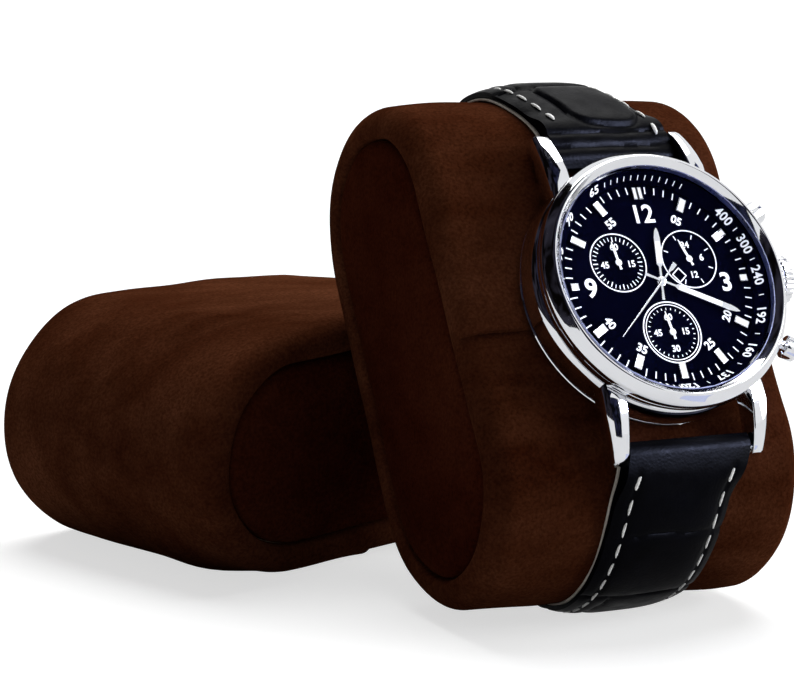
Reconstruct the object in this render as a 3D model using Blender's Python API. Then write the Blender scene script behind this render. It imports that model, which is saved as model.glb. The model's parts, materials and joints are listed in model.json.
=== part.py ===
# Two suede watch cushions and the chronograph wristwatch that is strapped round one of them.
# One cushion lies flat. The other stands on its narrow edge and leans back on it, with the
# watch buckled round its girth, so its strap is what touches the table. Sizes are in metres,
# +Z is up, the dial faces -Y, and the origin is on the table under the leaning cushion's edge.

import math

import bmesh
import bpy
from mathutils import Euler, Matrix, Vector

MM = 0.001

# Cushion: an oval prism. Length runs along its axis, height is the oval's long way.
CUSHION_LENGTH = 50.0 * MM
CUSHION_HEIGHT = 78.0 * MM
CUSHION_THICKNESS = 39.0 * MM
CUSHION_CROWN = 0.9 * MM
CUSHION_EDGE_RADIUS = 3.0 * MM
SUEDE_THICKNESS = 1.0 * MM
END_BOARD_THICKNESS = 1.5 * MM
END_COVER_THICKNESS = 1.0 * MM
END_COVER_DOME = 0.7 * MM
TURN_IN = 1.2 * MM
SOFT_GAP = 0.3 * MM
REST_FLAT_DEPTH = 0.5 * MM
STRAP_FLAT_DEPTH = 0.3 * MM

# How the pair stands on the table.
LEAN_ANGLE = math.radians(30.8)
LYING_TURN = math.radians(17.2)
LYING_TO_UPRIGHT_X = -22.1 * MM

# Watch case, in the watch's own frame: x to 3 o'clock, y to 12 o'clock, z out of the dial.
WATCH_OFF_CENTRE = 4.3 * MM
HEAD_DROP = 0.7 * MM
CASE_RADIUS = 19.6 * MM
CASE_WALL = 2.7 * MM
BACK_PLATE_STEP = 0.2 * MM
BACK_PLATE_THICKNESS = 1.3 * MM
BACK_BOSS_HEIGHT = 0.9 * MM
GASKET_THICKNESS = 0.35 * MM
GASKET_WIDTH = 0.9 * MM
CASE_HEIGHT = 4.95 * MM
CASE_CHAMFER = 0.6 * MM
BEZEL_OVERHANG = 0.4 * MM
BEZEL_HEIGHT = 2.35 * MM
BEZEL_RIM_WIDTH = 2.1 * MM
BEZEL_LEDGE_WIDTH = 0.4 * MM
BEZEL_LEDGE_HEIGHT = 0.85 * MM
BEZEL_SLOPE_WIDTH = 0.9 * MM
BEZEL_SLOPE_DROP = 0.95 * MM
CRYSTAL_GASKET_WIDTH = 0.4 * MM
CRYSTAL_THICKNESS = 1.1 * MM
CRYSTAL_DOME = 0.25 * MM
FIT_GAP = 0.05 * MM

# Inside the case.
DIAL_GAP = 0.2 * MM
DIAL_THICKNESS = 0.4 * MM
SUBDIAL_RADIUS = 4.2 * MM
SUBDIAL_DEPTH = 0.15 * MM
SUBDIAL_X = 6.0 * MM
SUBDIAL_Y = 3.5 * MM
LOW_SUBDIAL_Y = 7.7 * MM
REHAUT_WIDTH = 1.1 * MM
HOLDER_WIDTH = 1.4 * MM
MOVEMENT_GAP = 0.1 * MM
MOVEMENT_HEIGHT = 3.0 * MM
CELL_RADIUS = 3.4 * MM
CELL_THICKNESS = 2.1 * MM
CELL_X_INSET = 8.2 * MM
CELL_Y_INSET = 10.2 * MM

# Hour markers and hands.
MARKER_LENGTH = 2.3 * MM
MARKER_TO_REHAUT = 0.65 * MM
MARKER_WIDTH = 1.15 * MM
MARKER_HEIGHT = 0.35 * MM
SHORT_MARKER_SHARE = 0.55
HAND_THICKNESS = 0.15 * MM
HAND_STEP = 0.3 * MM
NECK_WIDTH_SHARE = 0.3
HAND_LENGTH_SHARES = (0.2, 0.88)
HOUR_HAND_TO_REHAUT = 6.1 * MM
MINUTE_HAND_TO_REHAUT = 2.7 * MM
CHRONO_HAND_TO_REHAUT = 3.2 * MM
SMALL_HAND_LENGTH = 3.3 * MM
HAND_WIDTH = 1.1 * MM
CHRONO_HAND_WIDTH = 0.32 * MM
SMALL_HAND_WIDTH = 0.5 * MM
HAND_TAIL_LENGTH = 2.9 * MM
CHRONO_TAIL_LENGTH = 3.6 * MM
SMALL_TAIL_LENGTH = 1.1 * MM
HOUR_TUBE_RADIUS = 1.15 * MM
MINUTE_TUBE_RADIUS = 0.75 * MM
CHRONO_ARBOR_RADIUS = 0.3 * MM
SMALL_ARBOR_RADIUS = 0.2 * MM
TUBE_WALL = 0.28 * MM
HOUR_HAND_ANGLE = math.radians(9)
MINUTE_HAND_ANGLE = math.radians(115)
CHRONO_HAND_ANGLE = math.radians(227.6)
SMALL_SECONDS_ANGLE = math.radians(-7)
MINUTE_COUNTER_ANGLE = math.radians(-8)
DAY_HOUR_ANGLE = math.radians(-20)

# Lugs, spring bars, crown and pushers.
SPRING_BAR_PAST_CASE = 5.1 * MM
SPRING_BAR_Z = 2.1 * MM
SPRING_BAR_RADIUS = 0.75 * MM
SPRING_BAR_PIVOT_RADIUS = 0.4 * MM
SPRING_BAR_PIVOT_LENGTH = 1.1 * MM
LUG_GAP = 20.4 * MM
LUG_ROOT_TO_BORE = 0.26 * MM
LUG_PAST_BAR = 1.3 * MM
LUG_SHARES = (0.3, 0.62)
LUG_ROOT_WIDTH = 3.3 * MM
LUG_SHOULDER_WIDTH = 4.0 * MM
LUG_TIP_WIDTH = 2.9 * MM
LUG_ROOT_TOP = 6.2 * MM
LUG_TIP_TOP = 2.6 * MM
LUG_ROOT_FOOT = 2.2 * MM
LUG_TIP_FOOT = 0.7 * MM
CONTROL_Z = 4.3 * MM
CROWN_RADIUS = 3.9 * MM
CROWN_LENGTH = 2.2 * MM
CROWN_TO_BEZEL = 0.3 * MM
CROWN_FLUTES = 24
CROWN_FLUTE_DEPTH = 0.22 * MM
CROWN_BEVEL = 0.4 * MM
CROWN_WIDTH_SHARES = (0.93, 1, 1, 0.84)
TUBE_INSET = 0.4 * MM
CROWN_TUBE_RADIUS = 1.1 * MM
STEM_RADIUS = 0.45 * MM
STEM_IN_MOVEMENT = 4.2 * MM
STEM_SOCKET = 1.6 * MM
SLIDE_GAP = 0.15 * MM
PUSHER_ANGLE = math.radians(28)
PUSHER_TUBE_RADIUS = 1.5 * MM
PUSHER_TUBE_PAST_BEZEL = 0.8 * MM
PUSHER_STEM_RADIUS = 0.8 * MM
PUSHER_STEM_INSET = 0.9 * MM
PUSHER_CAP_RADIUS = 1.8 * MM
PUSHER_TRAVEL = 1.2 * MM
PUSHER_CAP_LENGTH = 2.3 * MM
PUSHER_CAP_BEVEL = 0.35 * MM

# Strap, buckle and keepers. The strap follows the cushion's girth.
STRAP_WIDTH = 19.7 * MM
STRAP_END_WIDTH = 18.0 * MM
STRAP_TAPER_LENGTH = 60.0 * MM
STRAP_PADDING_LENGTH = 26.0 * MM
TAIL_DRIFT = 2.2 * MM
STRAP_THICKNESS = 3.6 * MM
STRAP_END_THICKNESS = 2.1 * MM
STRAP_HEAD_LENGTH = 1.8 * MM
STRAP_HEAD_SHARES = ((-1, 0.45), (-0.6, 0.85), (0, 1), (1, 1))
STRAP_EDGE_DROP_SHARE = 0.38
STRAP_DOME_WIDTH_SHARE = 0.72
LINING_THICKNESS = 0.8 * MM
LINING_START = 5.0 * MM
BUCKLE_BAR_TO_KEEPER = 6.4 * MM
BUCKLE_BAR_HEIGHT = 1.85 * MM
BUCKLE_BARREL = 3.0 * MM
BARREL_SHARES = ((-3, 1), (0, 1), (1, 0.9), (2, 0.5))
BUCKLE_BAR_RADIUS = 0.75 * MM
BUCKLE_REACH = 10.5 * MM
BUCKLE_WIRE_RADIUS = 1.0 * MM
BUCKLE_SIDE_GAP = 0.35 * MM
CORNER_SHARE = 1 - math.cos(math.pi / 4)
TONGUE_RADIUS = 0.5 * MM
TONGUE_EYE_RADIUS = 1.45 * MM
TONGUE_WIDTH = 1.6 * MM
TONGUE_SLOT = 2.4 * MM
HOLE_RADIUS = 1.15 * MM
HOLE_PITCH = 7.0 * MM
HOLES_LEFT_AND_RIGHT = 3
TAIL_END_PAST_BAR = 35.5 * MM
TAIL_POINT_LENGTH = 9.0 * MM
TAIL_POINT_WIDTH = 7.0 * MM
TAIL_POINT_SHARES = ((0.4, 0.12), (0.75, 0.4), (1, 1))
TAIL_RISE_LENGTH = 7.0 * MM
TAIL_RISE_TO_BAR = 9.0 * MM
TONGUE_HOLE_SHARE = 0.58
KEEPER_WIDTH = 4.0 * MM
KEEPER_THICKNESS = 0.9 * MM
KEEPER_PITCH = 6.8 * MM
FREE_KEEPER_TO_ARC = 4.3 * MM
KEEPER_RISE_LENGTH = 10.0 * MM
KEEPER_SIDE_GAP = 0.3 * MM
LAYER_GAP = 0.2 * MM

OVERRUN = 1.0 * MM
TURN_STEPS = 40
SMALL_TURN_STEPS = 16
OVAL_STEPS = 12
EDGE_STEPS = 3
CROWN_STEPS = 6
STRAP_STEP = 4.2 * MM
CONTACT_STEPS = 12
CONTACT_ROUNDS = 24

# Radii and reaches of the watch, from its case outwards and inwards.
CASE_BORE_RADIUS = CASE_RADIUS - CASE_WALL
BACK_PLATE_RADIUS = CASE_RADIUS - BACK_PLATE_STEP
BEZEL_RADIUS = CASE_RADIUS + BEZEL_OVERHANG
BEZEL_SIGHT_RADIUS = BEZEL_RADIUS - BEZEL_RIM_WIDTH
BEZEL_LEDGE_RADIUS = BEZEL_SIGHT_RADIUS - BEZEL_LEDGE_WIDTH
DIAL_RADIUS = CASE_BORE_RADIUS - DIAL_GAP
REHAUT_FOOT_RADIUS = DIAL_RADIUS - REHAUT_WIDTH
REHAUT_TOP_RADIUS = BEZEL_LEDGE_RADIUS - DIAL_GAP
MOVEMENT_RADIUS = DIAL_RADIUS - HOLDER_WIDTH - MOVEMENT_GAP
CELL_X = CELL_X_INSET - MOVEMENT_RADIUS
CELL_Y = CELL_Y_INSET - MOVEMENT_RADIUS
MARKER_RING_RADIUS = REHAUT_FOOT_RADIUS - MARKER_TO_REHAUT - MARKER_LENGTH / 2
HOUR_HAND_LENGTH = REHAUT_FOOT_RADIUS - HOUR_HAND_TO_REHAUT
MINUTE_HAND_LENGTH = REHAUT_FOOT_RADIUS - MINUTE_HAND_TO_REHAUT
CHRONO_HAND_LENGTH = REHAUT_FOOT_RADIUS - CHRONO_HAND_TO_REHAUT
SPRING_BAR_Y = CASE_RADIUS + SPRING_BAR_PAST_CASE
LUG_TIP_Y = SPRING_BAR_Y + LUG_PAST_BAR
LUG_ROOT_Y = math.sqrt((CASE_BORE_RADIUS + LUG_ROOT_TO_BORE) ** 2 - (LUG_GAP / 2) ** 2)
TUBE_START = CASE_BORE_RADIUS + TUBE_INSET
CROWN_START = BEZEL_RADIUS + CROWN_TO_BEZEL
CROWN_TUBE_END = CROWN_START - DIAL_GAP
STEM_START = MOVEMENT_RADIUS - STEM_IN_MOVEMENT
PUSHER_TUBE_END = BEZEL_RADIUS + PUSHER_TUBE_PAST_BEZEL
PUSHER_STEM_START = TUBE_START + PUSHER_STEM_INSET
PUSHER_CAP_START = PUSHER_TUBE_END + PUSHER_TRAVEL

# Heights in the watch's frame, from the cushion's face outwards.
BACK_TOP = SOFT_GAP + BACK_PLATE_THICKNESS
CASE_FOOT = BACK_TOP + GASKET_THICKNESS + 2 * FIT_GAP
CASE_TOP = CASE_FOOT + CASE_HEIGHT
BEZEL_FOOT = CASE_TOP + FIT_GAP
BEZEL_TOP = BEZEL_FOOT + BEZEL_HEIGHT
LEDGE_TOP = BEZEL_FOOT + BEZEL_LEDGE_HEIGHT
CRYSTAL_FOOT = LEDGE_TOP + FIT_GAP
MOVEMENT_FOOT = BACK_TOP + BACK_BOSS_HEIGHT + 2 * FIT_GAP
MOVEMENT_TOP = MOVEMENT_FOOT + MOVEMENT_HEIGHT
DIAL_FOOT = MOVEMENT_TOP + FIT_GAP
DIAL_TOP = DIAL_FOOT + DIAL_THICKNESS
SMALL_HAND_Z = DIAL_TOP + HAND_STEP / 2
HOUR_HAND_Z = DIAL_TOP + 2 * HAND_STEP
MINUTE_HAND_Z = HOUR_HAND_Z + HAND_STEP
CHRONO_HAND_Z = MINUTE_HAND_Z + HAND_STEP

# Heights of the strap's layers on the cushion's back, where the keepers hold them.
KEEPER_LAYER = SOFT_GAP + KEEPER_THICKNESS + LAYER_GAP
TAIL_FOOT = KEEPER_LAYER + STRAP_END_THICKNESS + LAYER_GAP
TAIL_LIFT = TAIL_FOOT - SOFT_GAP
KEEPER_TOP = TAIL_FOOT + STRAP_END_THICKNESS + LAYER_GAP + KEEPER_THICKNESS

# The oval girth of the cushion, which strap and cushions share.
OVAL_RADIUS = CUSHION_THICKNESS / 2
OVAL_FLAT = CUSHION_HEIGHT / 2 - OVAL_RADIUS
OVAL_ARC = math.pi * OVAL_RADIUS
GIRTH = 4 * OVAL_FLAT + 2 * OVAL_ARC
REST_HEIGHT = OVAL_RADIUS - REST_FLAT_DEPTH
STANDING_HEIGHT = OVAL_RADIUS + SOFT_GAP + STRAP_END_THICKNESS - STRAP_FLAT_DEPTH

# Places of keepers and buckle on the cushion's back, from its top round downwards.
FREE_KEEPER_Y = OVAL_FLAT - FREE_KEEPER_TO_ARC
FIXED_KEEPER_Y = FREE_KEEPER_Y - KEEPER_PITCH
BUCKLE_BAR_Y = FIXED_KEEPER_Y - BUCKLE_BAR_TO_KEEPER
TAIL_RISE_START = BUCKLE_BAR_Y - TAIL_RISE_TO_BAR

COLOURS = {
    "suede": ((0.085, 0.032, 0.014), 0.95, 0.0),
    "foam": ((0.55, 0.52, 0.45), 0.95, 0.0),
    "card": ((0.30, 0.24, 0.17), 0.9, 0.0),
    "polished_steel": ((0.80, 0.80, 0.82), 0.12, 1.0),
    "glass": ((0.95, 0.97, 1.0), 0.02, 0.0),
    "rubber": ((0.02, 0.02, 0.02), 0.7, 0.0),
    "navy_dial": ((0.006, 0.008, 0.045), 0.35, 0.0),
    "white_lacquer": ((0.85, 0.85, 0.85), 0.4, 0.0),
    "movement_brass": ((0.60, 0.52, 0.36), 0.35, 1.0),
    "holder_plastic": ((0.75, 0.75, 0.72), 0.6, 0.0),
    "leather": ((0.010, 0.010, 0.013), 0.45, 0.0),
    "lining": ((0.10, 0.075, 0.05), 0.8, 0.0),
}


def clear_scene():
    for obj in list(bpy.data.objects):
        bpy.data.objects.remove(obj, do_unlink=True)


def make_material(name):
    colour, roughness, metallic = COLOURS[name]
    material = bpy.data.materials.new(name)
    material.use_nodes = True
    shader = material.node_tree.nodes["Principled BSDF"]
    shader.inputs["Base Color"].default_value = (*colour, 1.0)
    shader.inputs["Roughness"].default_value = roughness
    shader.inputs["Metallic"].default_value = metallic
    return material


def make_empty(name, parent=None, location=(0, 0, 0), rotation=(0, 0, 0)):
    empty = bpy.data.objects.new(name, None)
    empty.parent = parent
    empty.location = location
    empty.rotation_euler = rotation
    bpy.context.scene.collection.objects.link(empty)
    return empty


def make_object(name, mesh_data, material, parent, location=(0, 0, 0), rotation=(0, 0, 0)):
    """Turns a bmesh into a named object with its faces pointing out."""
    bmesh.ops.recalc_face_normals(mesh_data, faces=mesh_data.faces)
    mesh = bpy.data.meshes.new(name)
    mesh_data.to_mesh(mesh)
    mesh_data.free()
    mesh.shade_smooth()
    mesh.set_sharp_from_angle(angle=math.radians(30))
    obj = bpy.data.objects.new(name, mesh)
    obj.parent = parent
    obj.location = location
    obj.rotation_euler = rotation
    bpy.context.scene.collection.objects.link(obj)
    if material is not None:
        mesh.materials.append(MATERIALS[material])
    return obj


def as_cutter(obj):
    obj.hide_render = True
    obj.display_type = "WIRE"
    return obj


def combine(obj, other, operation):
    """Adds an exact Boolean with a helper object."""
    modifier = obj.modifiers.new(other.name, "BOOLEAN")
    modifier.operation = operation
    modifier.solver = "EXACT"
    modifier.object = as_cutter(other)
    return obj


def turned_mesh(profile, steps=TURN_STEPS):
    """Spins (radius, height) points round the z axis. A profile off the axis makes a ring."""
    mesh_data = bmesh.new()
    points = [mesh_data.verts.new((radius, 0, height)) for radius, height in profile]
    edges = [mesh_data.edges.new(pair) for pair in zip(points, points[1:])]
    if profile[0][0] > 0:
        edges.append(mesh_data.edges.new((points[-1], points[0])))
    bmesh.ops.spin(
        mesh_data, geom=points + edges, cent=(0, 0, 0), axis=(0, 0, 1), dvec=(0, 0, 0),
        angle=math.tau, steps=steps, use_merge=True, use_duplicate=False,
    )
    bmesh.ops.remove_doubles(mesh_data, verts=mesh_data.verts, dist=MM / 10000)
    return mesh_data


def tube_profile(outer, inner, low, high):
    return [(outer, low), (outer, high), (inner, high), (inner, low)]


def rod_profile(radius, low, high):
    return [(0, low), (radius, low), (radius, high), (0, high)]


def lofted_mesh(rings):
    """Joins rings of as many points each, one after another, and caps both ends."""
    mesh_data = bmesh.new()
    made = [[mesh_data.verts.new(point) for point in ring] for ring in rings]
    for first, second in zip(made, made[1:]):
        count = len(first)
        for i in range(count):
            j = (i + 1) % count
            mesh_data.faces.new((first[i], first[j], second[j], second[i]))
    mesh_data.faces.new(made[0])
    mesh_data.faces.new(made[-1])
    return mesh_data


def extruded_mesh(outline, low, high):
    """A flat (x, y) outline given a height."""
    return lofted_mesh([[(x, y, z) for x, y in outline] for z in (low, high)])


def ring_of_rings_mesh(rings):
    """As a loft, but the last ring meets the first one, as in a sleeve."""
    mesh_data = bmesh.new()
    made = [[mesh_data.verts.new(point) for point in ring] for ring in rings]
    for first, second in zip(made, made[1:] + made[:1]):
        count = len(first)
        for i in range(count):
            j = (i + 1) % count
            mesh_data.faces.new((first[i], first[j], second[j], second[i]))
    return mesh_data


def add_mesh(whole, other):
    """Moves one closed shape into a mesh that holds several."""
    bmesh.ops.recalc_face_normals(other, faces=other.faces)
    scratch = bpy.data.meshes.new("scratch")
    other.to_mesh(scratch)
    other.free()
    whole.from_mesh(scratch)
    bpy.data.meshes.remove(scratch)


def oval_ring(x, inset):
    """The cushion's oval at a place along its axis, drawn in by inset."""
    ring = []
    for side in (1, -1):
        for i in range(OVAL_STEPS + 1):
            angle = math.pi * i / OVAL_STEPS
            radius = OVAL_RADIUS - inset
            y = -side * radius * math.cos(angle)
            z = side * (OVAL_FLAT + radius * math.sin(angle))
            ring.append((x, y, z))
    return ring


def crown_drop(x):
    """How far the cushion's side falls below its middle, at a place along its axis."""
    half = CUSHION_LENGTH / 2 - CUSHION_EDGE_RADIUS
    return CUSHION_CROWN * (abs(x) / half) ** 3


def cushion_side(depth):
    """(x, inset) points of the side and its rounded edges, at a depth under the suede."""
    half = CUSHION_LENGTH / 2 - CUSHION_EDGE_RADIUS
    round_radius = CUSHION_EDGE_RADIUS - depth
    crown = [half * (2 * i / CROWN_STEPS - 1) for i in range(CROWN_STEPS + 1)]
    points = [(x, depth + crown_drop(x)) for x in crown]
    for i in range(1, EDGE_STEPS + 1):
        angle = math.pi / 2 * i / EDGE_STEPS
        reach = half + round_radius * math.sin(angle)
        inset = depth + CUSHION_CROWN + round_radius * (1 - math.cos(angle))
        points.append((reach, inset))
        points.insert(0, (-reach, inset))
    return points


def end_opening_inset():
    """Where the wrap's turned-in edge stops on the end face."""
    return CUSHION_CROWN + CUSHION_EDGE_RADIUS + TURN_IN


def make_cushion(name, parent):
    """Foam block, suede wrap with turned-in edges, and a card and a cover at each end."""
    outer = cushion_side(0)
    inner = cushion_side(SUEDE_THICKNESS)
    lip = end_opening_inset()
    half = CUSHION_LENGTH / 2
    sleeve = outer + [(half, lip), (half - SUEDE_THICKNESS, lip)] + inner[::-1]
    sleeve += [(-half + SUEDE_THICKNESS, lip), (-half, lip)]
    rings = [oval_ring(x, inset) for x, inset in sleeve]
    wrap = make_object(name + "_wrap", ring_of_rings_mesh(rings), "suede", parent)

    board_top = half - END_COVER_THICKNESS - SOFT_GAP / 2
    board_foot = board_top - END_BOARD_THICKNESS
    foam_end = board_foot - SOFT_GAP
    side = [point for point in cushion_side(SUEDE_THICKNESS + SOFT_GAP) if abs(point[0]) < foam_end]
    end_inset = side[-1][1] + foam_end - side[-1][0]
    foam = [(-foam_end, end_inset)] + side + [(foam_end, end_inset)]
    rings = [oval_ring(x, inset) for x, inset in foam]
    make_object(name + "_foam", lofted_mesh(rings), "foam", parent)

    for side, where in ((-1, "left"), (1, "right")):
        inset = lip + SOFT_GAP
        rings = [oval_ring(side * x, inset) for x in (board_foot, board_top)]
        make_object(f"{name}_{where}_board", lofted_mesh(rings), "card", parent)
        cover_foot = board_top + SOFT_GAP / 2
        middle = (CUSHION_EDGE_RADIUS + OVAL_RADIUS) / 2
        dome = [
            (cover_foot, inset),
            (half, inset),
            (half + END_COVER_DOME / 2, inset + CUSHION_EDGE_RADIUS / 2),
            (half + END_COVER_DOME, middle),
        ]
        rings = [oval_ring(side * x, drawn_in) for x, drawn_in in dome]
        make_object(f"{name}_{where}_cover", lofted_mesh(rings), "suede", parent)
    return wrap


def make_case(watch):
    """Middle with its lugs, back, bezel, crystal and their gaskets."""
    middle = [
        (CASE_RADIUS - CASE_CHAMFER, CASE_FOOT),
        (CASE_RADIUS, CASE_FOOT + CASE_CHAMFER),
        (CASE_RADIUS, CASE_TOP - CASE_CHAMFER),
        (CASE_RADIUS - CASE_CHAMFER, CASE_TOP),
        (CASE_BORE_RADIUS, CASE_TOP),
        (CASE_BORE_RADIUS, CASE_FOOT),
    ]
    case = make_object("case_middle", turned_mesh(middle), "polished_steel", watch)
    combine(case, make_lugs(watch), "UNION")
    combine(case, make_case_bores(watch), "DIFFERENCE")

    boss_radius = CASE_BORE_RADIUS - 3 * FIT_GAP
    boss_top = BACK_TOP + BACK_BOSS_HEIGHT
    back = [
        (0, SOFT_GAP),
        (BACK_PLATE_RADIUS - CASE_CHAMFER, SOFT_GAP),
        (BACK_PLATE_RADIUS, SOFT_GAP + CASE_CHAMFER),
        (BACK_PLATE_RADIUS, BACK_TOP),
        (boss_radius, BACK_TOP),
        (boss_radius, boss_top),
        (0, boss_top),
    ]
    make_object("case_back", turned_mesh(back), "polished_steel", watch)
    gasket = tube_profile(
        CASE_BORE_RADIUS + GASKET_WIDTH + FIT_GAP, CASE_BORE_RADIUS + FIT_GAP,
        BACK_TOP + FIT_GAP, CASE_FOOT - FIT_GAP,
    )
    make_object("case_back_gasket", turned_mesh(gasket), "rubber", watch)

    bezel = [
        (BEZEL_RADIUS - CASE_CHAMFER, BEZEL_FOOT),
        (BEZEL_RADIUS, BEZEL_FOOT + CASE_CHAMFER),
        (BEZEL_RADIUS, BEZEL_TOP - BEZEL_SLOPE_DROP),
        (BEZEL_RADIUS - BEZEL_SLOPE_WIDTH, BEZEL_TOP - BEZEL_SLOPE_DROP / 4),
        (BEZEL_SIGHT_RADIUS + CASE_CHAMFER / 2, BEZEL_TOP),
        (BEZEL_SIGHT_RADIUS, BEZEL_TOP - CASE_CHAMFER / 4),
        (BEZEL_SIGHT_RADIUS, LEDGE_TOP),
        (BEZEL_LEDGE_RADIUS, LEDGE_TOP),
        (BEZEL_LEDGE_RADIUS, BEZEL_FOOT),
    ]
    make_object("bezel", turned_mesh(bezel), "polished_steel", watch)
    seal_outer = BEZEL_SIGHT_RADIUS - FIT_GAP
    seal = tube_profile(
        seal_outer, seal_outer - CRYSTAL_GASKET_WIDTH, CRYSTAL_FOOT, CRYSTAL_FOOT + CRYSTAL_THICKNESS
    )
    make_object("crystal_gasket", turned_mesh(seal), "rubber", watch)
    glass_radius = seal_outer - CRYSTAL_GASKET_WIDTH - FIT_GAP
    glass_top = CRYSTAL_FOOT + CRYSTAL_THICKNESS
    glass = [
        (0, CRYSTAL_FOOT),
        (glass_radius, CRYSTAL_FOOT),
        (glass_radius, glass_top),
        (glass_radius / 2, glass_top + CRYSTAL_DOME * 3 / 4),
        (0, glass_top + CRYSTAL_DOME),
    ]
    make_object("crystal", turned_mesh(glass), "glass", watch)


def lug_ring(side_x, side_y, y, width, foot, top):
    """A lug's four-sided section, with its outer top corner cut back."""
    inner = LUG_GAP / 2
    outer = inner + width
    corners = [
        (inner, foot), (outer, foot), (outer, (foot + 2 * top) / 3), (outer - width / 4, top), (inner, top),
    ]
    return [(side_x * x, side_y * y, z) for x, z in corners]


def make_lugs(watch):
    """All four lugs in one helper, which the case middle is united with."""
    shoulder_share, bend_share = LUG_SHARES
    reach = LUG_TIP_Y - LUG_ROOT_Y
    fall = LUG_ROOT_TOP - LUG_TIP_TOP
    rise = LUG_ROOT_FOOT - LUG_TIP_FOOT
    stations = [
        (LUG_ROOT_Y, LUG_ROOT_WIDTH, LUG_ROOT_FOOT, LUG_ROOT_TOP),
        (LUG_ROOT_Y + reach * shoulder_share, LUG_SHOULDER_WIDTH,
         LUG_ROOT_FOOT - rise / 8, LUG_ROOT_TOP - fall / 8),
        (LUG_ROOT_Y + reach * bend_share, (LUG_SHOULDER_WIDTH + LUG_TIP_WIDTH) / 2,
         LUG_ROOT_FOOT - rise / 2, LUG_ROOT_TOP - fall * 3 / 7),
        (LUG_TIP_Y, LUG_TIP_WIDTH, LUG_TIP_FOOT, LUG_TIP_TOP),
    ]
    whole = bmesh.new()
    for side_x in (-1, 1):
        for side_y in (-1, 1):
            add_mesh(whole, lofted_mesh([lug_ring(side_x, side_y, *station) for station in stations]))
    return make_object("lugs", whole, None, watch)


def add_cylinder(mesh_data, radius, start, end):
    """Adds a closed cylinder between two points."""
    axis = Vector(end) - Vector(start)
    turn = axis.to_track_quat("Z", "Y").to_matrix().to_4x4()
    place = Matrix.Translation((Vector(start) + Vector(end)) / 2) @ turn
    bmesh.ops.create_cone(
        mesh_data, cap_ends=True, segments=SMALL_TURN_STEPS, radius1=radius, radius2=radius,
        depth=axis.length, matrix=place,
    )


def radial(angle, distance, z):
    return (distance * math.cos(angle), distance * math.sin(angle), z)


def make_case_bores(watch):
    """The holes for spring bars, crown tube and pusher tubes."""
    bores = bmesh.new()
    reach = LUG_GAP / 2 + SPRING_BAR_PIVOT_LENGTH + SLIDE_GAP
    for side in (-1, 1):
        y = side * SPRING_BAR_Y
        radius = SPRING_BAR_PIVOT_RADIUS + SLIDE_GAP
        add_cylinder(bores, radius, (-reach, y, SPRING_BAR_Z), (reach, y, SPRING_BAR_Z))
    wall = (CASE_BORE_RADIUS - OVERRUN, CASE_RADIUS + OVERRUN)
    for angle, radius in (
        (0, CROWN_TUBE_RADIUS), (PUSHER_ANGLE, PUSHER_TUBE_RADIUS), (-PUSHER_ANGLE, PUSHER_TUBE_RADIUS),
    ):
        ends = [radial(angle, distance, CONTROL_Z) for distance in wall]
        add_cylinder(bores, radius + FIT_GAP, *ends)
    return make_object("case_bores", bores, None, watch)


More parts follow.
